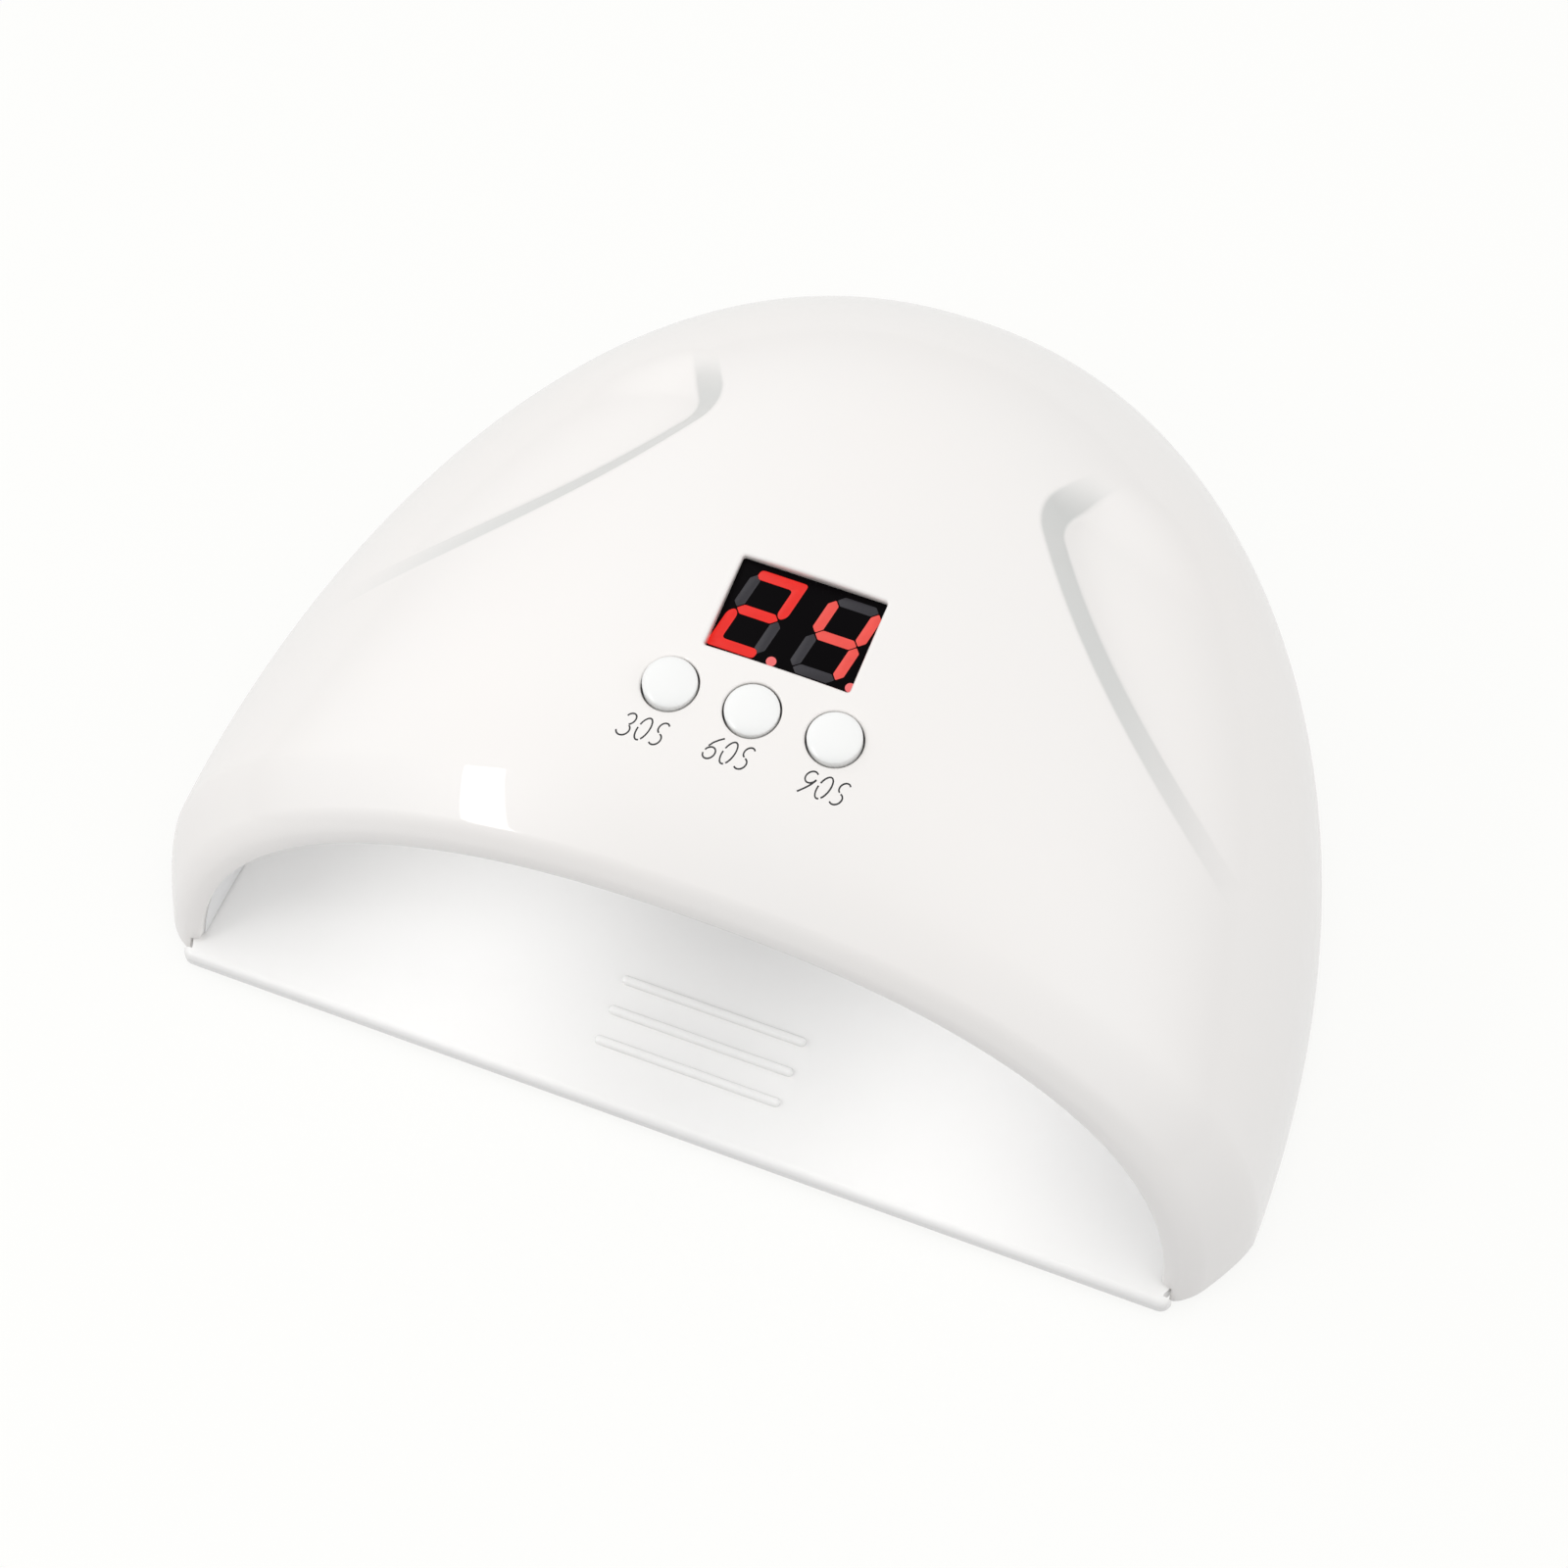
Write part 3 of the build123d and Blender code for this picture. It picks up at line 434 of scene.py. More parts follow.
@dataclass(frozen=True)
class GlowPlastic(Coating):
    """Coloured diffuser of a lit bar, a little uneven as light from behind it is."""

    colour: Colour
    strength: float
    roughness: float = 0.35
    uneven_scale: float = 800.0
    dim: float = 0.8
    body: float = 0.2

    def sockets(self, tree: ShaderTree) -> dict[str, Any]:
        """Draws the uneven glow.

        Args:
            tree: The material's tree.

        Returns:
            The surface's sockets.
        """
        uneven = tree.noise(self.uneven_scale, detail=1.0)
        return {
            "Base Color": shaded(self.colour, self.body),
            "Roughness": self.roughness,
            "Emission Color": tree.blend(uneven, self.colour, shaded(self.colour, self.dim)),
            "Emission Strength": self.strength,
        }


@dataclass(frozen=True)
class ClearLens(Coating):
    """Clear moulded lens of a lamp bead with a little haze."""

    tint: Colour
    roughness: float = 0.03
    haze: float = 0.08
    haze_scale: float = 900.0
    haze_rise: float = 0.01
    haze_strength: float = 0.3
    clearness: float = 0.9
    index: float = 1.42

    def sockets(self, tree: ShaderTree) -> dict[str, Any]:
        """Draws the haze.

        Args:
            tree: The material's tree.

        Returns:
            The surface's sockets.
        """
        haze = tree.noise(self.haze_scale)
        return {
            "Base Color": self.tint,
            "Roughness": self.roughness + haze * self.haze,
            "Transmission Weight": self.clearness,
            "IOR": self.index,
            "Normal": tree.bump(haze, self.haze_rise, self.haze_strength),
        }


class Finish(Enum):
    """Finishes of the lamp's pieces."""

    SHELL = GlossPlastic(
        "shell_white",
        (0.89, 0.857, 0.83),
        (0.872, 0.862, 0.85),
        0.38,
        0.6,
        # facet: painted shade that darkens the scoop facets.
        facet=(0.67, 0.675, 0.66),
    )
    TUNNEL = GlossPlastic("tunnel_white", (0.86, 0.86, 0.86), (0.84, 0.845, 0.86), 0.35, 0.0)
    TRAY = GlossPlastic("tray_white", (0.9, 0.89, 0.875), (0.89, 0.888, 0.88), 0.22, 0.25)
    BUTTON = GlossPlastic("button_white", (0.9, 0.9, 0.89), (0.88, 0.89, 0.88), 0.25, 0.2)
    FOOT = GrainPlastic("foot_grey", (0.32, 0.33, 0.34), 0.7)
    # Near black painted shade for the label hairlines, standing for the shaded edges of embossed
    # letters.
    PAINTED_LETTER_SHADE = GrainPlastic("label_painted_shade", (0.03, 0.03, 0.032), 0.6)
    FACE = GlossPlastic(
        "display_black", (0.002, 0.002, 0.002), (0.003, 0.002, 0.003), 0.3, 0.0, index=1.12
    )
    FIRST_DIGIT = GlowPlastic("digit_red", (0.75, 0.012, 0.006), 1.0)
    SECOND_DIGIT = GlowPlastic("digit_coral", (0.76, 0.07, 0.055), 1.0)
    DOT = GlowPlastic("dot_coral", (0.8, 0.14, 0.14), 1.0)
    UNLIT = GrainPlastic("segment_dark", (0.026, 0.024, 0.031), 0.35)
    BOARD = SolderMask("board_green", (0.012, 0.12, 0.04), (0.05, 0.24, 0.1))
    STRIP = SolderMask("strip_white", (0.8, 0.8, 0.78), (0.62, 0.6, 0.52))
    BEAD = ClearLens("bead_lens", (0.95, 0.95, 1.0))
    CHIP = GlowPlastic("bead_chip", (0.8, 0.55, 0.08), 0.0)
    CUP = TurnedMetal("bead_cup", (0.86, 0.86, 0.88), 0.2)
    STEEL = TurnedMetal("screw_steel", (0.52, 0.53, 0.55))
    NICKEL = TurnedMetal("magnet_nickel", (0.68, 0.66, 0.62), 0.18)
    BLACK = GrainPlastic("part_black", (0.018, 0.018, 0.02), 0.42)
    CAN = TurnedMetal("capacitor_can", (0.13, 0.14, 0.18), 0.35)
    CREAM = GrainPlastic("connector_cream", (0.78, 0.74, 0.62), 0.45)
    RED = GrainPlastic("wire_red", (0.55, 0.02, 0.015), 0.38)
    WIRE_BLACK = GrainPlastic("wire_black", (0.02, 0.02, 0.022), 0.38)
    BRASS = TurnedMetal("contact_brass", (0.78, 0.58, 0.26), 0.25)
    TIN = TurnedMetal("jumper_tin", (0.7, 0.7, 0.7), 0.3)


class Paint:
    """Box of the finishes' materials, each drawn once."""

    def __init__(self) -> None:
        """Starts with no material drawn."""
        self.drawn: dict[Finish, bpy.types.Material] = {}

    def get(self, finish: Finish) -> bpy.types.Material:
        """Finds or draws the material of a finish.

        Args:
            finish: The finish.

        Returns:
            Its material.
        """
        if finish not in self.drawn:
            self.drawn[finish] = finish.value.material()
        return self.drawn[finish]


class MeshDraft:
    """Vertices and faces of a piece, gathered in millimetres before they become a mesh."""

    def __init__(self) -> None:
        """Starts empty."""
        self.points: list[Array] = []
        self.normals: list[Array] = []
        self.faces: list[tuple[int, ...]] = []
        self.slots: list[int] = []
        self.slot = 0
        self.count = 0

    def add(self, points: Array, normals: Array | None = None) -> Array:
        """Adds vertices.

        Args:
            points: Their places, one row each.
            normals: Their normals, or nothing to leave these to the mesh.

        Returns:
            Their numbers.
        """
        self.points.append(points)
        self.normals.append(np.zeros_like(points) if normals is None else normals)
        first = self.count
        self.count += len(points)
        return np.arange(first, self.count)

    def face(self, *corners: int) -> None:
        """Adds a face that has the given corners."""
        self.faces.append(tuple(int(corner) for corner in corners))
        self.slots.append(self.slot)

    def net(self, rows: Array) -> None:
        """Adds quads over a table of vertex numbers, but none where a number is negative.

        Args:
            rows: The table.
        """
        for near, far in zip(rows, rows[1:]):
            for a, b, c, d in zip(near, near[1:], far[1:], far):
                if min(a, b, c, d) >= 0:
                    self.face(a, b, c, d)

    def band(self, first: Array, second: Array, closed: bool = True) -> None:
        """Joins two rows that have as many vertices.

        Args:
            first: One row.
            second: The other row.
            closed: Whether the rows are loops.
        """
        if closed:
            first, second = np.append(first, first[0]), np.append(second, second[0])
        self.net(np.array([first, second]))

    def tube(self, rings: Sequence[Array], capped: bool = True) -> None:
        """Joins rings in turn.

        Args:
            rings: The rings, which have as many vertices.
            capped: Whether the first and the last ring are filled.
        """
        for near, far in zip(rings, rings[1:]):
            self.band(near, far)
        if capped:
            self.face(*rings[0])
            self.face(*rings[-1])

    def zip_rows(self, first: Array, first_at: Array, second: Array, second_at: Array) -> None:
        """Joins two open rows that may differ in number by triangles.

        Args:
            first: One row.
            first_at: Rising places along it.
            second: The other row.
            second_at: Rising places along it.
        """
        i = j = 0
        while i < len(first) - 1 or j < len(second) - 1:
            step_first = j == len(second) - 1 or (
                i < len(first) - 1 and first_at[i + 1] <= second_at[j + 1]
            )
            if step_first:
                self.face(first[i], first[i + 1], second[j])
                i += 1
            else:
                self.face(first[i], second[j + 1], second[j])
                j += 1

    def patch(
        self,
        loops: Sequence[TwoArrays],
        lines: Sequence[Array],
        inner: Array,
        clearance: float,
        place: Callable[[Array], TwoArrays],
    ) -> None:
        """Fills a flat map with triangles that keep to its loops and lines.

        Args:
            loops: Vertex numbers and map places of the border and then of the open holes.
            lines: Map places along open lines that the triangles follow.
            inner: Map places that fill what is left.
            clearance: Least distance of these from loops and lines.
            place: Gives points and normals for map places.
        """
        numbers = np.concatenate([loop[0] for loop in loops])
        fixed = np.concatenate([loop[1] for loop in loops])
        coords = [fixed, *lines]
        tree = KDTree(sum(len(part) for part in coords))
        for index, (u, v) in enumerate(np.concatenate(coords)):
            tree.insert((u, v, 0.0), index)
        tree.balance()
        clear = [tree.find((u, v, 0.0))[2] > clearance for u, v in inner]
        coords.append(inner[np.array(clear, dtype=bool)])
        edges: list[tuple[int, int]] = []
        start = 0
        for _, spots in loops:
            size = len(spots)
            edges += [(start + i, start + (i + 1) % size) for i in range(size)]
            start += size
        for spots in lines:
            edges += [(start + i, start + i + 1) for i in range(len(spots) - 1)]
            start += len(spots)
        flat = [Vector((float(u), float(v))) for u, v in np.concatenate(coords)]
        verts, _, faces, origins, _, _ = delaunay_2d_cdt(flat, edges, [], 0, SAME_SPOT)
        ids = np.full(len(verts), -1)
        for index, sources in enumerate(origins):
            known = [source for source in sources if source < len(numbers)]
            if known:
                ids[index] = numbers[known[0]]
        fresh = np.where(ids < 0)[0]
        spots = np.array([tuple(vert) for vert in verts])
        corners = np.array(faces)
        centres = spots[corners].mean(axis=1)
        kept = np.ones(len(corners), dtype=bool)
        for _, outline in loops[1:]:
            kept &= ~inside(centres, outline)
        used = np.zeros(len(verts), dtype=bool)
        used[corners[kept].ravel()] = True
        fresh = fresh[used[fresh]]
        ids[fresh] = self.add(*place(spots[fresh]))
        for corner in corners[kept]:
            self.face(*ids[corner])

    def piece(self, name: str, *materials: bpy.types.Material) -> bpy.types.Object:
        """Makes the piece.

        Args:
            name: Its name.
            materials: Its materials, in the order of the slots.

        Returns:
            The object, smooth shaded and with outward normals.
        """
        mesh = bpy.data.meshes.new(name)
        points = np.concatenate(self.points) * MM
        mesh.from_pydata(points.tolist(), [], self.faces)
        mesh.polygons.foreach_set("material_index", self.slots)
        work = bmesh.new()
        work.from_mesh(mesh)
        bmesh.ops.recalc_face_normals(work, faces=work.faces)
        work.to_mesh(mesh)
        work.free()
        for material in materials:
            mesh.materials.append(material)
        mesh.shade_smooth()
        given = np.concatenate(self.normals)
        if np.any(given):
            own = np.zeros(len(points) * 3)
            mesh.vertex_normals.foreach_get("vector", own)
            own = own.reshape(-1, 3)
            wanted = np.linalg.norm(given, axis=1) > 0.5
            own[wanted] = given[wanted]
            mesh.normals_split_custom_set_from_vertices(own.tolist())
        thing = bpy.data.objects.new(name, mesh)
        bpy.context.collection.objects.link(thing)
        return thing


def inside(spots: Array, outline: Array) -> Array:
    """Tells which spots of a map lie inside an outline.

    Args:
        spots: The spots, one row each.
        outline: Corners of the outline in order.

    Returns:
        A truth value for each spot.
    """
    result = np.zeros(len(spots), dtype=bool)
    for (x0, y0), (x1, y1) in zip(outline, np.roll(outline, -1, axis=0)):
        crosses = (y0 > spots[:, 1]) != (y1 > spots[:, 1])
        if y1 != y0:
            result ^= crosses & (spots[:, 0] < (x1 - x0) * (spots[:, 1] - y0) / (y1 - y0) + x0)
    return result


def raised(spots: Array, height: float) -> Array:
    """Spots of a plane set at one height above it."""
    return np.column_stack([spots, np.full(len(spots), height)])


def lathe(draft: MeshDraft, profile: Sequence[Pair], frame: Array, turns: int) -> None:
    """Turns a profile about an axis.

    Args:
        draft: Where the faces go.
        profile: Radius and height of each ring, from one pole of the axis to the other.
        frame: Origin, x, y and z direction of the axis, one row each.
        turns: Corners of a ring.
    """
    angles = np.arange(turns) * 2.0 * math.pi / turns
    rings: list[Array] = []
    for radius, height in profile:
        spin = 1 if radius == 0.0 else turns
        local = raised(radius * circle_of(angles[:spin]), height)
        rings.append(draft.add(frame[0] + local @ frame[1:]))
    for near, far in zip(rings, rings[1:]):
        if len(near) == 1:
            near = np.repeat(near, turns)
        if len(far) == 1:
            far = np.repeat(far, turns)
        for i in range(turns):
            j = (i + 1) % turns
            corners = [near[i], near[j], far[j], far[i]]
            draft.face(*dict.fromkeys(int(corner) for corner in corners))


def oval(middle: Pair, size: Pair, start: float, end: float, steps: int) -> list[Pair]:
    """Points in even steps along an oval of given half sizes, between two angles in degrees."""
    turns = [math.radians(start + (end - start) * i / steps) for i in range(steps + 1)]
    return [(middle[0] + size[0] * math.cos(t), middle[1] + size[1] * math.sin(t)) for t in turns]


def bow(x: float, y: float, wide: float, high: float, start: float, end: float) -> list[Pair]:
    """Part of an oval in spans of about BOW_STEP degrees."""
    return oval((x, y), (wide, high), start, end, round(abs(end - start) / BOW_STEP))


@dataclass(frozen=True)
class DomeForm:
    """Law of the dome: leaned arch sections that swell to the cheeks and close at the tail."""

    crown_height: float = 67.9
    skirt: float = 1.5
    widest: float = 92.7
    mouth_half_width: float = 85.8
    mouth_height: float = 54.0
    cheek_depth: float = 13.9
    cheek_power: float = 1.34
    crown_depth: float = 77.3
    brow_power: float = 2.6
    tail_depth: float = 144.4
    tail_run: float = 3.0
    tail_side_power: float = 2.17
    tail_top_power: float = 2.55
    mouth_squareness: float = 2.29
    crown_squareness: float = 2.15
    mouth_lean: float = 0.21
    lean_depth: float = 50.0
    locate_rounds: int = 14

    def half_width(self, depth: Array, inset: Array | float = 0.0) -> Array:
        """Finds the half width of sections.

        Args:
            depth: Depths of the sections.
            inset: How far the sections are drawn in.

        Returns:
            The half widths.
        """
        turn = 1.0 - (1.0 - np.clip(depth / self.cheek_depth, 0.0, 1.0)) ** self.cheek_power
        near = self.mouth_half_width + (self.widest - self.mouth_half_width) * turn - inset
        close = self.tail_depth + self.tail_run - inset
        part = np.clip((depth - self.cheek_depth) / (close - self.cheek_depth), 0.0, 1.0)
        far = (self.widest - inset) * np.sqrt(1.0 - part**self.tail_side_power)
        return np.where(depth < self.cheek_depth, near, far)

    def height(self, depth: Array, inset: Array | float = 0.0) -> Array:
        """Finds the height of sections above the skirt.

        Args:
            depth: Depths of the sections.
            inset: How far the sections are drawn in.

        Returns:
            The heights.
        """
        fall = np.clip((self.crown_depth - depth) / self.crown_depth, 0.0, 1.0) ** self.brow_power
        near = self.crown_height - (self.crown_height - self.mouth_height) * fall - inset
        close = self.tail_depth + self.tail_run - inset
        part = np.clip((depth - self.crown_depth) / (close - self.crown_depth), 0.0, 1.0)
        far = (self.crown_height - inset) * np.sqrt(1.0 - part**self.tail_top_power)
        return np.where(depth < self.crown_depth, near, far)

    def nearness(self, depth: Array) -> Array:
        """1 at the mouth, falling to 0 where the sections stand upright."""
        return np.clip(1.0 - depth / self.lean_depth, 0.0, 1.0) ** 2

    def squareness(self, depth: Array) -> Array:
        """Exponent of the section at a depth."""
        gain = self.mouth_squareness - self.crown_squareness
        return self.crown_squareness + gain * self.nearness(depth)

    def point(self, depth: Array, angle: Array, inset: Array | float = 0.0) -> Array:
        """Finds points of the dome.

        Args:
            depth: Depths of the sections.
            angle: Angles over the top, 0 at the right foot.
            inset: How far the sections are drawn in.

        Returns:
            The points, one row each.
        """
        power = 2.0 / self.squareness(depth)
        side = np.cos(angle)
        x = self.half_width(depth, inset) * np.sign(side) * np.abs(side) ** power
        rise = self.height(depth, inset) * np.abs(np.sin(angle)) ** power
        z = self.skirt + rise
        y = depth + self.mouth_lean * self.nearness(depth) * z - MIDDLE_DEPTH
        return np.stack([x, y, z], axis=-1)

    def locate(self, x: Array, y: Array) -> TwoArrays:
        """Finds the section and angle above spots of the plan.

        Args:
            x: Places across the lamp.
            y: Places along it.

        Returns:
            The depths and the angles.
        """
        depth = y + MIDDLE_DEPTH
        section = np.clip(depth, 0.0, self.tail_depth)
        for _ in range(self.locate_rounds):
            power = self.squareness(section)
            share = np.clip(np.abs(x) / self.half_width(section), 0.0, 1.0)
            z = self.skirt + self.height(section) * (1.0 - share**power) ** (1.0 / power)
            lean = self.mouth_lean * self.nearness(section)
            section = np.clip(depth - lean * z, 0.0, self.tail_depth)
        share = np.clip(np.abs(x) / self.half_width(section), 0.0, 1.0)
        angle = np.arccos(np.sign(x) * share ** (self.squareness(section) / 2.0))
        return section, angle


@dataclass(frozen=True)
class ScoopForm:
    """Grip scoop beside the crown: a slanted facet that steps down to a sunk leaf."""

    corner: Pair = (25.4, 90.6)
    belly: Pair = (48.3, 63.2)
    tip: Pair = (78.5, 44.5)
    rear: Pair = (31.5, 102.0)
    tail: Pair = (62.0, 112.0)
    depth: float = 4.6
    corner_radius: float = 9.0
    corner_run: float = 4.2
    tip_run: float = 4.6
    edge: float = 0.45
    rear_run: float = 9.0
    rear_spread: float = 0.6
    crease_round: float = 1.2
    crease_limit: float = 30.0
    widen_from: float = 0.45
    widen_over: float = 0.5
    # Drop at which the painted shade on the facet starts, and over how much more it reaches full
    # strength.
    painted_shade_from: float = 0.1
    painted_shade_over: float = 3.3
    tip_extra: float = 4.0
    rear_extra: float = 8.0

    def front_circle(self) -> tuple[Array, float]:
        """Finds the circle through the tip, the belly and the corner.

        Returns:
            Its middle and its radius.
        """
        tip = np.array(self.tip)
        sides = np.array([self.belly, self.corner]) - tip
        middle = tip + np.linalg.solve(sides, 0.5 * np.sum(sides**2, axis=1))
        return middle, float(np.linalg.norm(tip - middle))

    def rear_leg(self) -> TwoArrays:
        """Finds the straight run to the rear.

        Returns:
            Its direction and its inward normal.
        """
        back = np.array(self.rear) - np.array(self.corner)
        back /= np.linalg.norm(back)
        return back, np.array([back[1], -back[0]])

    def round_middle(self) -> Array:
        """Finds the arc that joins the front circle to the rear run.

        Returns:
            The arc's middle.
        """
        middle, radius = self.front_circle()
        back, back_in = self.rear_leg()
        start = np.array(self.corner) + back_in * self.corner_radius - middle
        along = -float(start @ back)
        rest = float(start @ start) - (radius - self.corner_radius) ** 2
        return middle + start + back * (along - math.sqrt(along**2 - rest))

    def reach(self, spots: Array) -> Array:
        """Finds how far spots lie inside the facet's top edge, negative on the crown.

        Args:
            spots: Places to the side and depths, one row each.

        Returns:
            The distances.
        """
        far, radius = self.front_circle()
        back, back_in = self.rear_leg()
        middle = self.round_middle()
        out = (middle - far) / np.linalg.norm(middle - far)
        to_front = radius - np.linalg.norm(spots - far, axis=-1)
        to_back = (spots - np.array(self.corner)) @ back_in
        from_middle = spots - middle
        in_wedge = (from_middle @ np.array([out[1], -out[0]]) > 0.0) & (from_middle @ back < 0.0)
        arc = self.corner_radius - np.linalg.norm(from_middle, axis=-1)
        return np.where(in_wedge, arc, np.minimum(to_front, to_back))

    def fall(self, spots: Array) -> Array:
        """Finds how deep the sunk leaf lies, which fades out at the crease on the side.

        Args:
            spots: Places to the side and depths, one row each.

        Returns:
            The drops below the dome.
        """
        tip, tail = np.array(self.tip), np.array(self.tail)
        along = (tail - tip) / np.linalg.norm(tail - tip)
        across = np.array([-along[1], along[0]])
        full = (np.array(self.corner) - tip) @ across
        reach = ((spots - tip) @ across) / full * abs(full) / self.crease_round
        near = np.log1p(np.exp(np.minimum(reach, self.crease_limit)))
        soft = np.where(reach > self.crease_limit, reach, near)
        return self.depth * soft * self.crease_round / abs(full)

    def run(self, fall: Array) -> Array:
        """Sideways run of the facet where it falls by an amount."""
        part = ease((fall / self.depth - self.widen_from) / self.widen_over)
        return self.tip_run + (self.corner_run - self.tip_run) * part

    def sink(self, plan: Array) -> Array:
        """Finds how far the surface lies below the dome, the same on both sides.

        Args:
            plan: Places across the lamp and depths, one row each.

        Returns:
            The drops.
        """
        spots = np.abs(plan)
        fall, reach = self.fall(spots), self.reach(spots)
        run = self.run(fall)
        ramp = round_ramp(reach, self.edge) - round_ramp(reach - run, self.edge)
        return fall * ramp / run * self.open_share(spots)

    def open_share(self, spots: Array) -> Array:
        """Finds the share of the full drop, which fades out behind the rear end.

        Args:
            spots: Places to the side and depths, one row each.

        Returns:
            The shares.
        """
        rear, tail = np.array(self.rear), np.array(self.tail)
        back = (tail - rear) / np.linalg.norm(tail - rear)
        from_rear = spots - rear
        behind = from_rear @ np.array([back[1], -back[0]])
        fade = self.rear_run + self.rear_spread * np.clip(from_rear @ back, 0.0, None)
        return ease(behind / fade)

    def painted_shade_share(self, plan: Array) -> Array:
        """Tells how much painted shade each spot takes, over the slanted facet.

        Args:
            plan: Places across the lamp and depths, one row each.

        Returns:
            Shares from 0 to 1, less where the facet runs out.
        """
        spots = np.abs(plan)
        fall, reach = self.fall(spots), self.reach(spots)
        across = np.clip(reach / self.edge, 0.0, 1.0)
        across *= np.clip((self.run(fall) - reach) / self.edge, 0.0, 1.0)
        # Painted shade: the facet darkens more where the leaf lies deeper.
        painted_shade = ease((fall - self.painted_shade_from) / self.painted_shade_over)
        return across * painted_shade * self.open_share(spots)

    def outline(self, spacing: float) -> TwoArrays:
        """Walks along the facet's top edge, from before the tip to past the rear end.

        Args:
            spacing: Distance of the spots.

        Returns:
            The spots and the inward direction at each.
        """
        far, radius = self.front_circle()
        back, back_in = self.rear_leg()
        middle = self.round_middle()
        tip, join = np.array(self.tip) - far, middle - far
        begin, turn = swing(math.atan2(tip[1], tip[0]), math.atan2(join[1], join[0]))
        extra = math.copysign(self.tip_extra / radius, turn)
        begin -= extra
        turn += extra
        count = round(abs(turn) * radius / spacing)
        first = circle_of(begin + turn * np.arange(count + 1) / count)
        begin, turn = swing(math.atan2(join[1], join[0]), math.atan2(-back_in[1], -back_in[0]))
        count = round(abs(turn) * self.corner_radius / spacing)
        around = circle_of(begin + turn * np.arange(1, count) / count)
        end = np.array(self.rear) + back * self.rear_extra
        last = walk(middle - back_in * self.corner_radius, end, spacing)
        spots = np.concatenate([far + first * radius, middle + around * self.corner_radius, last])
        inward = np.concatenate([-first, -around, np.tile(back_in, (len(last), 1))])
        return spots, inward

    def contours(self, spacing: float) -> list[Array]:
        """Lines of the plan along the facet at steps down its slope.

        Args:
            spacing: Distance of the spots on a line.

        Returns:
            The lines, as places to the side and depths.
        """
        spots, inward = self.outline(spacing)
        run = self.run(self.fall(spots))[:, None]
        edge = self.edge
        lines = [spots + inward * offset for offset in (-2.0 * edge, -edge, 0.0, edge)]
        lines.append(spots + inward * run * 0.5)
        lines += [spots + inward * (run + offset) for offset in (-edge, 0.0, edge, 2.0 * edge)]
        return lines


def swing(start: float, end: float) -> Pair:
    """An angle and the shorter turn from it to another angle."""
    return start, (end - start + math.pi) % (2.0 * math.pi) - math.pi


def circle_of(angles: Array) -> Array:
    """Spots of the unit circle at angles."""
    return np.stack([np.cos(angles), np.sin(angles)], axis=1)


def walk(start: Array, end: Array, spacing: float) -> Array:
    """Evenly spaced spots from a start to an end."""
    count = max(1, round(float(np.linalg.norm(end - start)) / spacing))
    return start + (end - start) * np.linspace(0.0, 1.0, count + 1)[:, None]


def round_ramp(value: Array, edge: float) -> Array:
    """Ramp that is 0 below 0 and rises with the value above it, rounded over an edge."""
    eased = (value + edge) ** 2 / (4.0 * edge)
    return np.where(value <= -edge, 0.0, np.where(value >= edge, value, eased))


@dataclass(frozen=True)
class Panel:
    """Timer panel: a plane that touches the dome at the middle of the display window."""

    form: DomeForm
    depth: float = 55.1
    tilt: float = 6.5
    dome_rounds: int = 6

    def frame(self) -> Array:
        """Finds where the plane lies.

        Returns:
            Its origin and its x, y and z direction, one row each.
        """
        height = self.form.skirt + float(self.form.height(np.array(self.depth)))
        turn = math.radians(self.tilt)
        return np.array(
            [
                [0.0, self.depth - MIDDLE_DEPTH, height],
                [1.0, 0.0, 0.0],
                [0.0, math.cos(turn), math.sin(turn)],
                [0.0, -math.sin(turn), math.cos(turn)],
            ]
        )

    def out(self, local: Array) -> Array:
        """Points of the lamp for points given in the plane."""
        frame = self.frame()
        return frame[0] + local @ frame[1:]

    def on_dome(self, flat: Array, drop: Array | float = 0.0) -> Array:
        """Sets spots of the plane on the dome along the plane's normal.

        Args:
            flat: The spots, one row each.
            drop: How far below the dome they go.

        Returns:
            The points of the lamp.
        """
        rise = np.zeros(len(flat))
        slope = math.cos(math.radians(self.tilt))
        for _ in range(self.dome_rounds):
            points = self.out(np.column_stack([flat, rise]))
            section, angle = self.form.locate(points[:, 0], points[:, 1])
            rise += (self.form.point(section, angle)[:, 2] - points[:, 2]) * slope
        return self.out(np.column_stack([flat, rise - drop]))


@dataclass(frozen=True)
class Outline:
    """Closed outline in the panel's plane with the outward direction at each corner."""

    spots: Array
    outward: Array

    def grown(self, amount: float) -> Array:
        """The outline moved outward by an amount."""
        return self.spots + self.outward * amount


def box_outline(size: Pair, corner: float, spacing: float) -> Outline:
    """Draws a rectangle with rounded corners about the origin.

    Args:
        size: Its width and height.
        corner: Radius of its corners.
        spacing: Distance of the spots on its sides.

    Returns:
        The outline, anticlockwise.
    """
    spots: list[Pair] = []
    outward: list[Pair] = []
    half = (size[0] / 2.0 - corner, size[1] / 2.0 - corner)
    for quarter, (sx, sy) in enumerate(((1, 1), (-1, 1), (-1, -1), (1, -1))):
        for step in range(CORNER_STEPS + 1):
            turn = math.pi / 2.0 * (quarter + step / CORNER_STEPS)
            cos, sin = math.cos(turn), math.sin(turn)
            outward.append((cos, sin))
            spots.append((sx * half[0] + corner * cos, sy * half[1] + corner * sin))
        length = 2.0 * half[quarter % 2]
        count = round(length / spacing)
        turn = math.pi / 2.0 * (quarter + 1)
        normal = (math.cos(turn), math.sin(turn))
        begin = spots[-1]
        for step in range(1, count):
            run = length * step / count
            spots.append((begin[0] - normal[1] * run, begin[1] + normal[0] * run))
            outward.append(normal)
    return Outline(np.array(spots), np.array(outward))


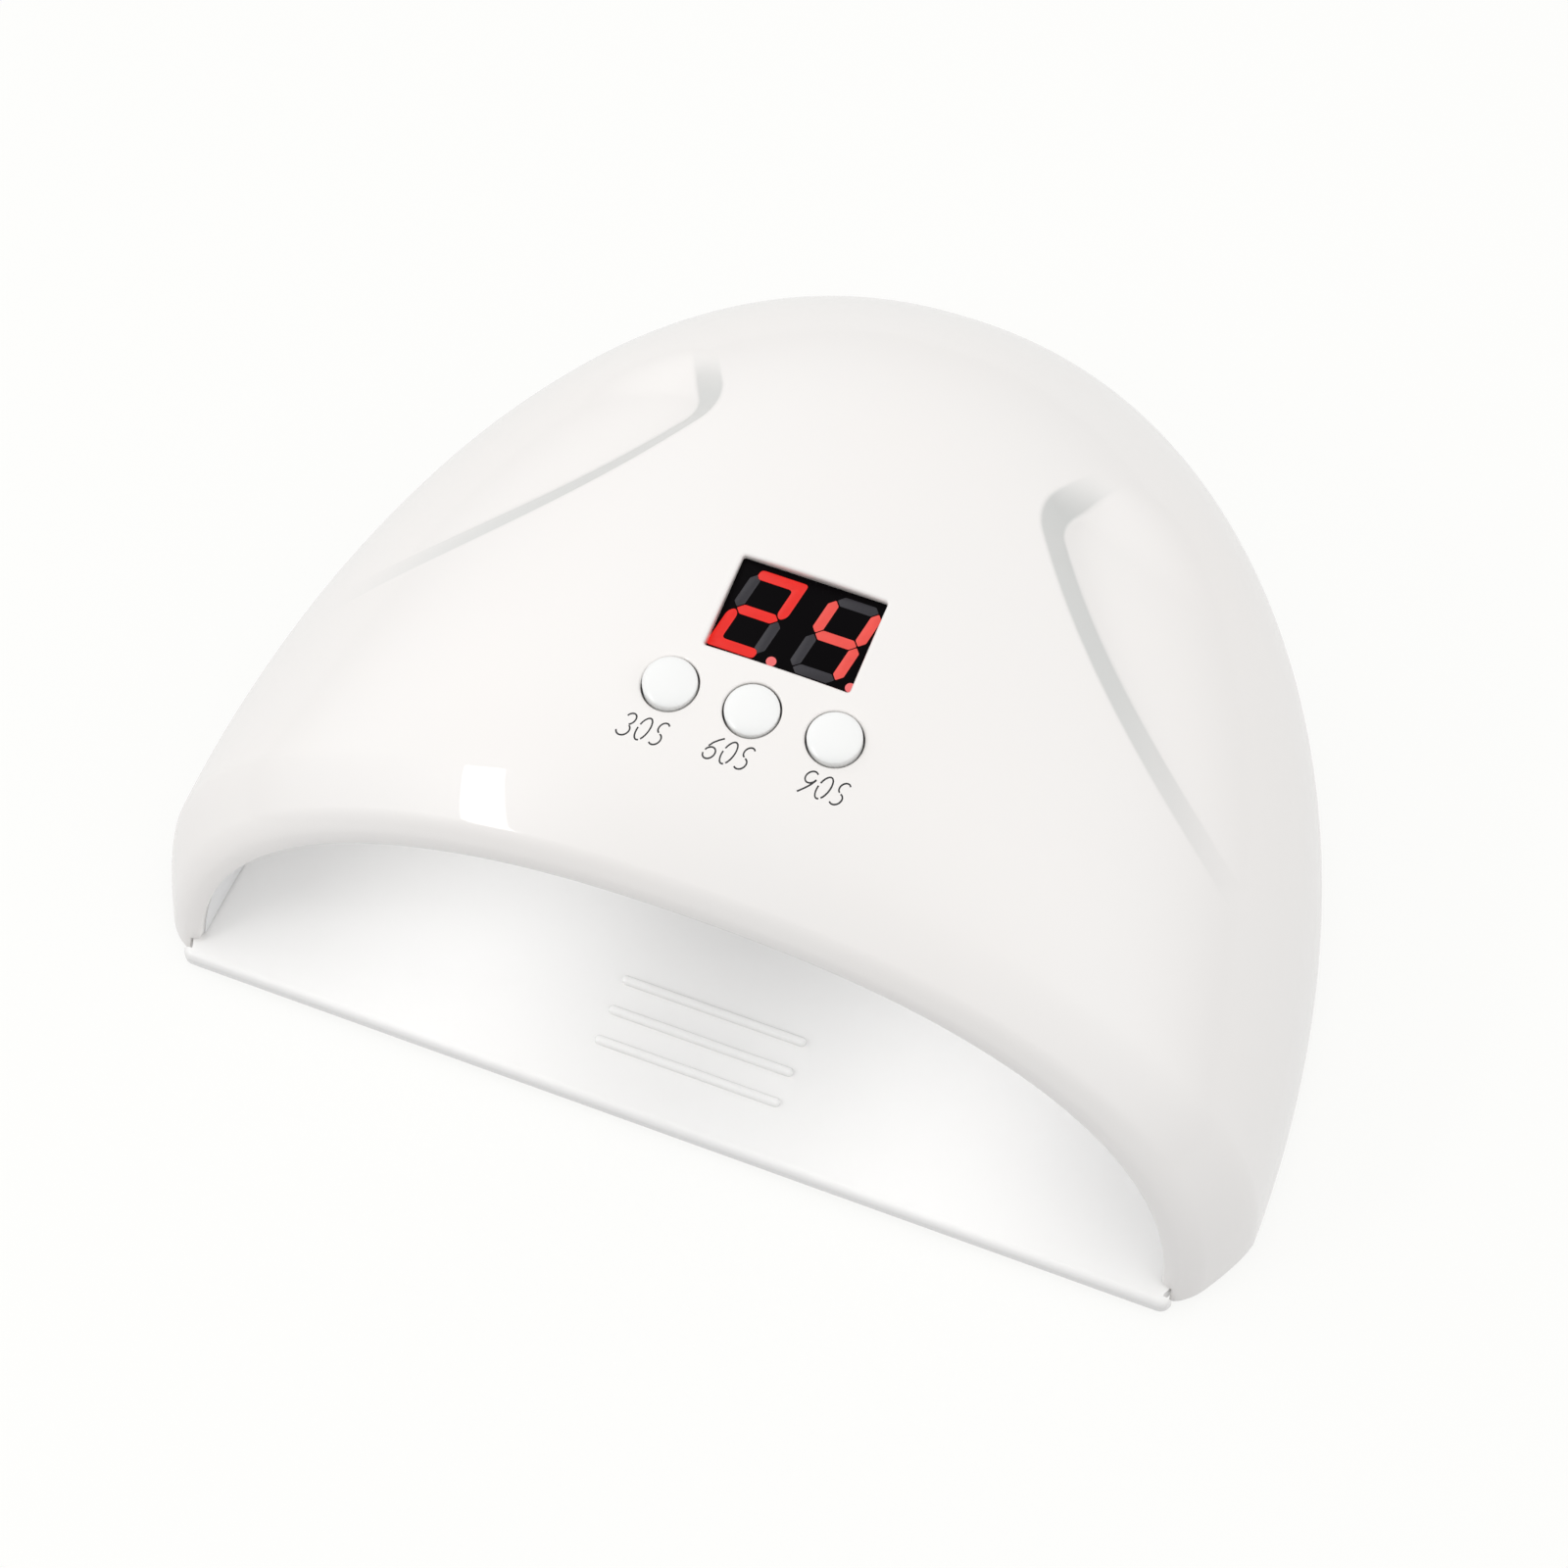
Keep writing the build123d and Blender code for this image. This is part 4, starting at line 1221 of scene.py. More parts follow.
def ring_outline(middle: Pair, radius: float, corners: int) -> Outline:
    """Circle with a number of corners, anticlockwise."""
    outward = circle_of(np.arange(corners) * 2.0 * math.pi / corners)
    return Outline(np.array(middle) + outward * radius, outward)


@dataclass(frozen=True)
class UprightFlat:
    """Upright plane across the lamp."""

    level: float

    def place(self, spots: Array) -> TwoArrays:
        """Points of the plane for spots across and up, with no normals of their own."""
        points = np.column_stack([spots[:, 0], np.full(len(spots), self.level), spots[:, 1]])
        return points, np.zeros_like(points)


@dataclass
class TopShell:
    """White moulding of the dome with scoops, window, button holes and a rolled front edge."""

    form: DomeForm
    scoop: ScoopForm
    panel: Panel
    wall: float = 2.4
    roll_depth: float = 3.4
    roll_inset: float = 2.2
    roll_rows: int = 10
    lip_inset: float = 4.1
    lip_depth: float = 1.5
    lip_round: float = 0.4
    lip_slant: float = 0.2
    lip_foot: float = 4.9
    hem_round: float = 0.6
    hem_steps: tuple[Pair, ...] = ((0.02, 0.5), (0.09, 0.9), (0.25, 1.0), (1.0, 1.0))
    straight_depth: float = 3.0
    straight_fade: float = 5.0
    spacing: float = 1.25
    inner_spacing: float = 4.5
    contour_spacing: float = 0.9
    slope_reach: float = 0.04
    lining_reach: float = 1.5
    lining_start: float = 1.0
    lining_hem: float = 3.0
    fine_rows: int = 4000
    map_radius: float = 78.0
    clear_share: float = 0.5
    window_size: Pair = (23.4, 16.4)
    window_corner: float = 0.45
    window_round: float = 0.6
    button_row: float = -16.0
    button_places: tuple[float, ...] = (-14.0, -0.8, 12.4)
    button_hole: float = 4.5
    button_round: float = 0.35
    button_corners: int = 56
    rim_turns: tuple[float, ...] = (0.0, 18.0, 36.0, 54.0, 72.0, 90.0)
    inlet_height: float = 15.0
    inlet_radius: float = 5.6
    inlet_round: float = 0.3
    inlet_corners: int = 48
    tail_half: float = 30.0
    tail_spacing: float = 3.0
    tail_clearance: float = 1.3
    patch_depths: Pair = (28.0, 124.0)
    patch_angles: Pair = (17.0, 163.0)
    inner_patch_depths: Pair = (26.0, 76.0)
    inner_patch_angles: Pair = (64.0, 116.0)

    def roll(self, depth: Array) -> Array:
        """How far the rolled front edge draws the sections in at a depth."""
        part = np.clip(1.0 - depth / self.roll_depth, 0.0, 1.0)
        return self.roll_inset * (1.0 - np.sqrt(1.0 - part**2))

    def surface(self, depth: Array, angle: Array) -> Array:
        """Finds points of the outer surface.

        Args:
            depth: Depths of the sections.
            angle: Angles over the top.

        Returns:
            The points, one row each.
        """
        points = self.form.point(depth, angle, self.roll(depth))
        points[..., 2] -= self.scoop.sink(points[..., :2] + TO_FRONT)
        return points

    def normal(self, depth: Array, angle: Array, reach: float | None = None) -> Array:
        """Finds outward normals of the outer surface.

        Args:
            depth: Depths of the sections.
            angle: Angles over the top.
            reach: Distance over which the slope is taken, or nothing for a short one.

        Returns:
            The normals, one row each.
        """
        reach = self.slope_reach if reach is None else reach
        turn = reach / self.map_radius
        ahead = np.clip(depth + reach, 0.0, self.form.tail_depth)
        behind = np.clip(depth - reach, 0.0, self.form.tail_depth)
        left = np.clip(angle + turn, 0.0, math.pi)
        right = np.clip(angle - turn, 0.0, math.pi)
        along = self.surface(ahead, angle) - self.surface(behind, angle)
        across = self.surface(depth, left) - self.surface(depth, right)
        out = np.cross(along, across)
        return out / np.maximum(np.linalg.norm(out, axis=-1, keepdims=True), TINY)

    def skin(self, spots: Array) -> TwoArrays:
        """Points and normals of the outer surface for spots of its flat map."""
        angle, depth = spots[:, 0] / self.map_radius, spots[:, 1]
        return self.surface(depth, angle), self.normal(depth, angle)

    def lining(self, spots: Array) -> TwoArrays:
        """Finds the inner surface under spots of the outer surface's map.

        Args:
            spots: The spots, one row each.

        Returns:
            Points and normals.
        """
        angle, depth = spots[:, 0] / self.map_radius, spots[:, 1]
        out = self.normal(depth, angle, self.lining_reach)
        return self.surface(depth, angle) - out * self.wall, -out

    def map_spots(self, points: Array) -> Array:
        """Spots of the flat map under points near the surface."""
        depth, angle = self.form.locate(points[:, 0], points[:, 1])
        return np.stack([angle * self.map_radius, depth], axis=1)

    def rows(self, spacing: float, first: float) -> Array:
        """Chooses depths for rows of vertices.

        Args:
            spacing: Distance of the rows over the surface.
            first: Depth of the first row.

        Returns:
            The depths.
        """
        fine = np.linspace(first, self.form.tail_depth, self.fine_rows)
        steps = np.diff(fine)
        widths = np.abs(np.diff(self.form.half_width(fine)))
        heights = np.abs(np.diff(self.form.height(fine)))
        lengths = np.concatenate([[0.0], np.cumsum(np.hypot(steps, np.maximum(widths, heights)))])
        count = round(lengths[-1] / spacing)
        return np.interp(np.linspace(0.0, lengths[-1], count + 1), lengths, fine)

    def turns(self, depth: Array, shares: Array, foot: float) -> Array:
        """Angles at shares of the row of each depth, whose ends stand a foot above the skirt."""
        low = np.arcsin((foot / self.form.height(depth)) ** (self.form.squareness(depth) / 2.0))
        return low[:, None] + shares[None, :] * (math.pi - 2.0 * low[:, None])

    def hem(
        self, points: Array, normals: Array, depth: Array, share: float, drop: float
    ) -> Array:
        """Finds a line along the bottom edge of the wall.

        Args:
            points: Line where the outer surface ends.
            normals: Outward normals there.
            depth: Depths there.
            share: How far in the line lies, from 0 outside to 1 inside.
            drop: How far it lies below the given line.

        Returns:
            The line's points.
        """
        level = -normals * np.array([1.0, 1.0, 0.0])
        level /= np.linalg.norm(level, axis=1, keepdims=True)
        straight = -np.sign(points) * np.array([1.0, 0.0, 0.0])
        blend = ease((depth - self.straight_depth) / self.straight_fade)[:, None]
        inward = straight * (1.0 - blend) + level * blend
        line = points + inward * (share * (self.wall - self.roll(depth)))[:, None]
        line[:, 2] = points[:, 2] - drop
        return line

    def opening_rings(
        self, draft: MeshDraft, outline: Outline, edge: float
    ) -> tuple[TwoArrays, TwoArrays]:
        """Makes the rounded rim and the wall of an opening in the panel.

        Args:
            draft: Where the faces go.
            outline: Outline of the opening.
            edge: Radius of its rounded rim.

        Returns:
            Vertex numbers and map spots of the loop on the outer skin and of that on the lining.
        """
        rings: list[Array] = []
        places: list[Array] = []
        for turn in self.rim_turns:
            grow = edge * (1.0 - math.sin(math.radians(turn)))
            drop = edge * (1.0 - math.cos(math.radians(turn)))
            places.append(self.panel.on_dome(outline.grown(grow), drop))
        places.append(self.panel.on_dome(outline.spots, self.wall))
        for number, points in enumerate(places):
            normals = None
            if number == 0:
                spots = self.map_spots(points)
                normals = self.normal(spots[:, 1], spots[:, 0] / self.map_radius)
            rings.append(draft.add(points, normals))
        draft.tube(rings, capped=False)
        outer = (rings[0], self.map_spots(places[0]))
        return outer, (rings[-1], self.map_spots(places[-1]))

    def border(self, net: Array, rows: slice, columns: slice) -> Array:
        """Vertex numbers round a rectangle of a table, in order."""
        block = net[rows, columns]
        return np.concatenate([block[0, :-1], block[:-1, -1], block[-1, :0:-1], block[:0:-1, 0]])

    def cover(
        self,
        draft: MeshDraft,
        depth: Array,
        angles: Array,
        limits: tuple[Pair, Pair],
        loops: list[TwoArrays],
        lines: list[Array],
        place: Callable[[Array], TwoArrays],
        spacing: float,
    ) -> Array:
        """Lays a skin of quads with a patch of triangles round openings and contours.

        Args:
            draft: Where the faces go.
            depth: Depths of the rows.
            angles: Angles in each row.
            limits: Depths and angles in degrees that bound the patch.
            loops: Vertex numbers and map spots of the openings.
            lines: Map spots along contours.
            place: Gives points and normals for map spots.
            spacing: Distance of the vertices.

        Returns:
            Table of the vertex numbers.
        """
        spots = np.stack(
            [angles * self.map_radius, np.repeat(depth[:, None], angles.shape[1], axis=1)], axis=2
        )
        middle_row = angles[len(angles) // 2]
        j0, j1 = np.searchsorted(depth, limits[0])
        i0, i1 = np.searchsorted(middle_row, np.radians(limits[1]))
        kept = np.ones(angles.shape, dtype=bool)
        kept[j0 + 1 : j1, i0 + 1 : i1] = False
        net = np.full(angles.shape, -1)
        net[kept] = draft.add(*place(spots[kept]))
        draft.net(net)
        rows, columns = slice(j0, j1 + 1), slice(i0, i1 + 1)
        index = np.arange(angles.size).reshape(angles.shape)
        ring = self.border(index, rows, columns)
        edge = (self.border(net, rows, columns), spots.reshape(-1, 2)[ring])
        inner = spots[j0 + 1 : j1, i0 + 1 : i1].reshape(-1, 2)
        draft.patch([edge, *loops], lines, inner, spacing * self.clear_share, place)
        return net

    def scoop_lines(self) -> list[Array]:
        """Contours of both scoops on the flat map.

        Returns:
            The contours' map spots.
        """
        lines: list[Array] = []
        for contour in self.scoop.contours(self.contour_spacing):
            for side in (1.0, -1.0):
                x, y = side * contour[:, 0], contour[:, 1] - MIDDLE_DEPTH
                depth, angle = self.form.locate(x, y)
                lines.append(np.stack([angle * self.map_radius, depth], axis=1))
        return lines

    def build(self, paint: Paint) -> bpy.types.Object:
        """Makes the shell.

        Args:
            paint: The finishes.

        Returns:
            The piece.
        """
        draft = MeshDraft()
        window = box_outline(self.window_size, self.window_corner, self.contour_spacing)
        outlines = [(window, self.window_round)]
        for x in self.button_places:
            ring = ring_outline((x, self.button_row), self.button_hole, self.button_corners)
            outlines.append((ring, self.button_round))
        rims = [self.opening_rings(draft, outline, edge) for outline, edge in outlines]

        quarter = np.linspace(0.0, math.pi / 2.0, self.roll_rows + 1)[:-1]
        depth = np.concatenate(
            [self.roll_depth * (1.0 - np.cos(quarter)), self.rows(self.spacing, self.roll_depth)]
        )
        count = round(math.pi * self.map_radius / self.spacing)
        shares = np.linspace(0.0, 1.0, count + 1)
        angles = self.turns(depth, shares, self.hem_round)
        limits = (self.patch_depths, self.patch_angles)
        skin_start = draft.count
        outer = self.cover(
            draft,
            depth,
            angles,
            limits,
            [rim[0] for rim in rims],
            self.scoop_lines(),
            self.skin,
            self.spacing,
        )
        skin_end = draft.count

        inner_depth = self.rows(self.inner_spacing, self.roll_depth + self.lining_start)
        inner_count = round(math.pi * self.map_radius / self.inner_spacing)
        inner_shares = np.linspace(0.0, 1.0, inner_count + 1)
        inner_angles = self.turns(inner_depth, inner_shares, self.lining_hem * self.hem_round)
        lining = self.cover(
            draft,
            inner_depth,
            inner_angles,
            (self.inner_patch_depths, self.inner_patch_angles),
            [rim[1] for rim in rims],
            [],
            self.lining,
            self.inner_spacing,
        )

        sides = [self.side_hem(draft, depth, angles, outer, column) for column in (0, -1)]
        for side, column in zip(sides, (0, -1)):
            draft.zip_rows(side[-1], depth, lining[:, column], inner_depth)
            draft.face(*[line[0] for line in side])
        right, left = sides
        for near, far in zip(range(len(right)), range(1, len(right))):
            draft.face(right[near][-1], left[near][-1], left[far][-1], right[far][-1])

        ends = (right[-1][0], left[-1][0])
        last = self.lip(draft, angles[0], outer[0], ends)
        draft.zip_rows(last, shares, lining[0], inner_shares)
        self.close_tail(draft, outer[-1], lining[-1], (right[-1][-1], left[-1][-1]))
        piece = draft.piece("dome_shell", paint.get(Finish.SHELL))
        # Painted shade: each vertex of the outer skin gets its share of the darker facet colour
        # as a point attribute.
        shares = np.zeros(draft.count)
        spots = np.concatenate(draft.points)[skin_start:skin_end]
        shares[skin_start:skin_end] = self.scoop.painted_shade_share(spots[:, :2] + TO_FRONT)
        layer = piece.data.attributes.new(PAINTED_SHADE_SHARE, "FLOAT", "POINT")
        layer.data.foreach_set("value", shares)
        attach(piece, Body.SHELL.value)
        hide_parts("top_shell")
        return piece

    def lip(self, draft: MeshDraft, angles: Array, edge: Array, ends: tuple[int, int]) -> Array:
        """Turns the front edge in over the tunnel's end, but not over the tray beside the feet.

        Args:
            draft: Where the faces go.
            angles: Angles of the front edge's vertices.
            edge: Vertex numbers of the front edge.
            ends: Vertices of the wall's inner bottom edges, right and left.

        Returns:
            Vertex numbers of the lip's last row.
        """
        zero = np.zeros(len(angles) - 2)
        turns = angles[1:-1]
        over = self.form.point(zero, turns, self.lip_inset)[:, 2] > self.lip_foot
        inset = np.where(over, self.lip_inset, self.wall)
        small = np.where(over, self.lip_round, self.lip_round * ARC_SHARE)
        row = edge
        for depth, back in (
            (zero, small),
            (small * ARC_SHARE, small * ARC_SHARE),
            (small, zero),
            (zero + self.lip_depth, zero),
            (zero + self.lip_depth + self.lip_slant, inset - self.wall),
        ):
            points = self.form.point(zero, turns, inset - back)
            points[:, 1] += depth
            following = np.concatenate([[ends[0]], draft.add(points), [ends[1]]])
            if row is edge:
                draft.band(row, following, closed=False)
            else:
                draft.band(row[1:-1], following[1:-1], closed=False)
                draft.face(ends[0], row[1], following[1])
                draft.face(ends[1], following[-2], row[-2])
            row = following
        return row

    def side_hem(
        self, draft: MeshDraft, depth: Array, angles: Array, outer: Array, column: int
    ) -> list[Array]:
        """Rounds the bottom edge of the wall on one side.

        Args:
            draft: Where the faces go.
            depth: Depths of the rows.
            angles: Angles in each row.
            outer: Table of the outer skin's vertex numbers.
            column: Column of that table where the side ends.

        Returns:
            Vertex numbers of the lines round the edge, from outside to inside.
        """
        end = angles[:, column]
        points, normals = self.surface(depth, end), self.normal(depth, end)
        lines = [outer[:, column]]
        for share, drop in self.hem_steps:
            line = self.hem(points, normals, depth, share, drop * self.hem_round)
            lines.append(draft.add(line))
        for near, far in zip(lines, lines[1:]):
            draft.band(near, far, closed=False)
        return lines

    def close_tail(
        self, draft: MeshDraft, outer: Array, lining: Array, hems: tuple[int, int]
    ) -> None:
        """Closes the small flat at the back round the power inlet.

        Args:
            draft: Where the faces go.
            outer: Last row of the outer skin.
            lining: Last row of the lining.
            hems: Last vertices of the wall's inner bottom edges, right and left.
        """
        points = np.concatenate(draft.points)
        back = self.form.tail_depth - MIDDLE_DEPTH
        ring = ring_outline((0.0, self.inlet_height), self.inlet_radius, self.inlet_corners)
        edge, low = self.inlet_round, self.inlet_round * ARC_SHARE
        holes: list[Array] = []
        for grow, drop in ((edge, 0.0), (low, low), (0.0, edge), (0.0, self.wall)):
            holes.append(draft.add(UprightFlat(back - drop).place(ring.grown(grow))[0]))
        draft.tube(holes, capped=False)
        step = np.arange(-self.tail_half, self.tail_half + 1.0, self.tail_spacing)
        inner = np.stack(np.meshgrid(step, step + self.tail_half), axis=-1).reshape(-1, 2)
        hem_to_hem = np.concatenate([[hems[0]], lining, [hems[1]]])
        for border, hole, grow, setback in (
            (outer, holes[0], edge, 0.0),
            (hem_to_hem, holes[-1], 0.0, self.wall),
        ):
            spots = points[border][:, [0, 2]]
            allowed = inner[inside(inner, spots)]
            loops = [(border, spots), (hole, ring.grown(grow))]
            place = UprightFlat(back - setback).place
            draft.patch(loops, [], allowed, self.tail_clearance, place)


@dataclass
class PushButton:
    """Soft-edged round cap with a flange below it that keeps it in the shell."""

    panel: Panel
    name: str
    body: Body
    place: float
    row: float
    radius: float = 4.2
    crown: float = 0.9
    flange_radius: float = 5.2
    flange_top: float = -4.3
    flange_bottom: float = -5.3
    roundness: float = 2.3
    fullness: float = 1.75
    edge: float = 0.15
    edge_steps: int = 3
    crown_step: int = 4
    turns: int = 72

    def profile(self) -> list[Pair]:
        """Draws half of the cap's section.

        Returns:
            Radius and height of each ring from the top to the bottom.
        """
        rings: list[Pair] = [(0.0, self.crown)]
        for turn in range(self.crown_step, 91, self.crown_step):
            radius = self.radius * math.sin(math.radians(turn))
            share = (radius / self.radius) ** self.roundness
            rings.append((radius, self.crown * (1.0 - share) ** (1.0 / self.fullness)))
        rings.append((self.radius, 0.0))
        size, steps = (self.edge, self.edge), self.edge_steps
        inner = (self.radius + self.edge, self.flange_top + self.edge)
        outer = (self.flange_radius - self.edge, self.flange_top - self.edge)
        rings += oval(inner, size, 180.0, 270.0, steps) + oval(outer, size, 90.0, 0.0, steps)
        return rings + [(self.flange_radius, self.flange_bottom), (0.0, self.flange_bottom)]

    def build(self, paint: Paint) -> bpy.types.Object:
        """Makes the cap.

        Args:
            paint: The finishes.

        Returns:
            The piece.
        """
        draft = MeshDraft()
        frame = self.panel.frame()
        frame[0] = self.panel.out(np.array([[self.place, self.row, 0.0]]))[0]
        lathe(draft, self.profile(), frame, self.turns)
        piece = draft.piece(f"cap_{self.name}", paint.get(Finish.BUTTON))
        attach(piece, self.body.value)
        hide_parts(f"button_{self.name}")
        return piece


@dataclass
class TimerDisplay:
    """Two-digit display behind the window: a lit 24, two lit points and the unlit bars."""

    panel: Panel
    size: Place = (25.2, 19.0, 8.0)
    drop: float = 2.2
    corner: float = 0.5
    case_spacing: float = 3.0
    pitch: float = 12.7
    half_height: float = 6.35
    half_width: float = 3.45
    slant: float = 10.5
    bar: float = 1.7
    gap: float = 0.13
    proud: float = 0.04
    sunk: float = 0.1
    bevel: float = 0.07
    bar_round: float = 0.2
    elbow_round: float = 0.7
    dot_radius: float = 0.8
    dot_corners: int = 24
    dot_place: Pair = (4.85, -6.65)

    def lean(self, x: float, y: float, middle: float) -> Pair:
        """Point of a digit leaned to the right by the slant."""
        return middle + x + y * math.tan(math.radians(self.slant)), y

    def hexagon(self, letter: str, middle: float) -> list[Pair]:
        """Corners of one bar of a digit.

        Args:
            letter: The bar's usual letter.
            middle: Place of the digit.

        Returns:
            The corners in order.
        """
        high, wide, thick = self.half_height, self.half_width, self.bar / 2.0
        level = {"a": high, "g": 0.0, "d": -high}
        side = {"b": (wide, 1), "c": (wide, -1), "f": (-wide, 1), "e": (-wide, -1)}
        if letter in level:
            y, end = level[letter], wide - self.gap
            ends = [(-end, y), (thick - end, y + thick), (end - thick, y + thick)]
            ends += [(end, y), (end - thick, y - thick), (thick - end, y - thick)]
        else:
            x, way = side[letter]
            near, far = way * self.gap, way * (high - self.gap)
            ends = [(x, near), (x + thick, near + way * thick), (x + thick, far - way * thick)]
            ends += [(x, far), (x - thick, far - way * thick), (x - thick, near + way * thick)]
        return [self.lean(px, py, middle) for px, py in ends]

    def elbow(self, way: int, middle: float) -> list[Pair]:
        """Corners of two bars of a digit that run into each other.

        Args:
            way: 1 for the upper and right bars, -1 for the lower and left bars.
            middle: Place of the digit.

        Returns:
            The corners in order.
        """
        high, wide, thick = self.half_height, self.half_width, self.bar / 2.0
        near = self.gap + thick
        corners = [(-wide, high + thick), (wide + thick, high + thick), (wide + thick, near)]
        corners += [(wide, self.gap), (wide - thick, near), (wide - thick, high - thick)]
        corners += [(-wide, high - thick)]
        return [self.lean(way * x, way * y, middle) for x, y in corners]

    def level(self, draft: MeshDraft, spots: Array, rise: float) -> Array:
        """Adds vertices at a height above the display's face."""
        return draft.add(self.panel.out(raised(spots, rise - self.drop)))

    def bar_solid(self, draft: MeshDraft, corners: list[Pair], round_to: float) -> None:
        """Makes a low bar with rounded corners and a bevelled top.

        Args:
            draft: Where the faces go.
            corners: Its corners in the display's plane.
            round_to: Radius of the corners.
        """
        line = np.array(soften(corners, round_to))
        ahead = np.roll(line, -1, axis=0) - np.roll(line, 1, axis=0)
        outward = np.stack([ahead[:, 1], -ahead[:, 0]], axis=1)
        outward /= np.linalg.norm(outward, axis=1, keepdims=True)
        after = np.roll(line, -1, axis=0)
        swirl = np.sum(line[:, 0] * after[:, 1] - line[:, 1] * after[:, 0])
        inward = -outward * math.copysign(1.0, swirl)
        side = self.proud - self.bevel / 2.0
        levels = ((0.0, -self.sunk), (0.0, side), (self.bevel, self.proud))
        draft.tube([self.level(draft, line + inward * draw, rise) for draw, rise in levels])

    def dot(self, draft: MeshDraft, middle: float) -> None:
        """Makes the round point after a digit.

        Args:
            draft: Where the faces go.
            middle: Place of the digit.
        """
        x, y = middle + self.dot_place[0], self.dot_place[1]
        ring = ring_outline((x, y), self.dot_radius, self.dot_corners).spots
        self.bar_solid(draft, [(float(px), float(py)) for px, py in ring], 0.0)

    def build(self, paint: Paint) -> list[bpy.types.Object]:
        """Makes the housing, the lit bars and the unlit bars.

        Args:
            paint: The finishes.

        Returns:
            The pieces.
        """
        left, right = -self.pitch / 2.0, self.pitch / 2.0
        lit, unlit, case = MeshDraft(), MeshDraft(), MeshDraft()
        for way in (1, -1):
            self.bar_solid(lit, self.elbow(way, left), self.elbow_round)
        self.bar_solid(lit, self.hexagon("g", left), self.bar_round)
        lit.slot = 1
        for letter in "fgbc":
            self.bar_solid(lit, self.hexagon(letter, right), self.bar_round)
        lit.slot = 2
        for middle in (left, right):
            self.dot(lit, middle)
        for letters, middle in (("fc", left), ("aed", right)):
            for letter in letters:
                self.bar_solid(unlit, self.hexagon(letter, middle), self.bar_round)
        outline = box_outline(self.size[:2], self.corner, self.case_spacing)
        edge = self.corner / 2.0
        low = edge * ARC_SHARE
        levels = ((-edge, 0.0), (-low, -low), (0.0, -edge), (0.0, -self.size[2]))
        case.tube([self.level(case, outline.grown(grow), rise) for grow, rise in levels])
        digits = (Finish.FIRST_DIGIT, Finish.SECOND_DIGIT, Finish.DOT)
        pieces = [
            lit.piece("lit_bars", *[paint.get(finish) for finish in digits]),
            unlit.piece("unlit_bars", paint.get(Finish.UNLIT)),
            case.piece("display_case", paint.get(Finish.FACE)),
        ]
        nodes = ("display_lit_segments", "display_dark_segments", "display_housing")
        slots = ("segment_lit", "segment_dark", "display_black")
        for piece, node, slot in zip(pieces, nodes, slots):
            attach(piece, Body.SHELL.value)
            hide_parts(node)
        return pieces


def soften(corners: list[Pair], radius: float) -> list[Pair]:
    """Rounds the corners of an outline.

    Args:
        corners: The outline's corners.
        radius: How far from a corner its rounding starts, at most.

    Returns:
        The rounded outline.
    """
    if radius == 0.0:
        return corners
    result: list[Pair] = []
    size = len(corners)
    for index in range(size):
        before, here, after = (Vector(corners[(index + step) % size]) for step in (-1, 0, 1))
        start, end = (
            here + side.normalized() * min(radius, side.length * ROUND_SHARE)
            for side in (before - here, after - here)
        )
        for step in range(CORNER_STEPS + 1):
            share = step / CORNER_STEPS
            spot = start.lerp(here, share).lerp(here.lerp(end, share), share)
            result.append((spot.x, spot.y))
    return result


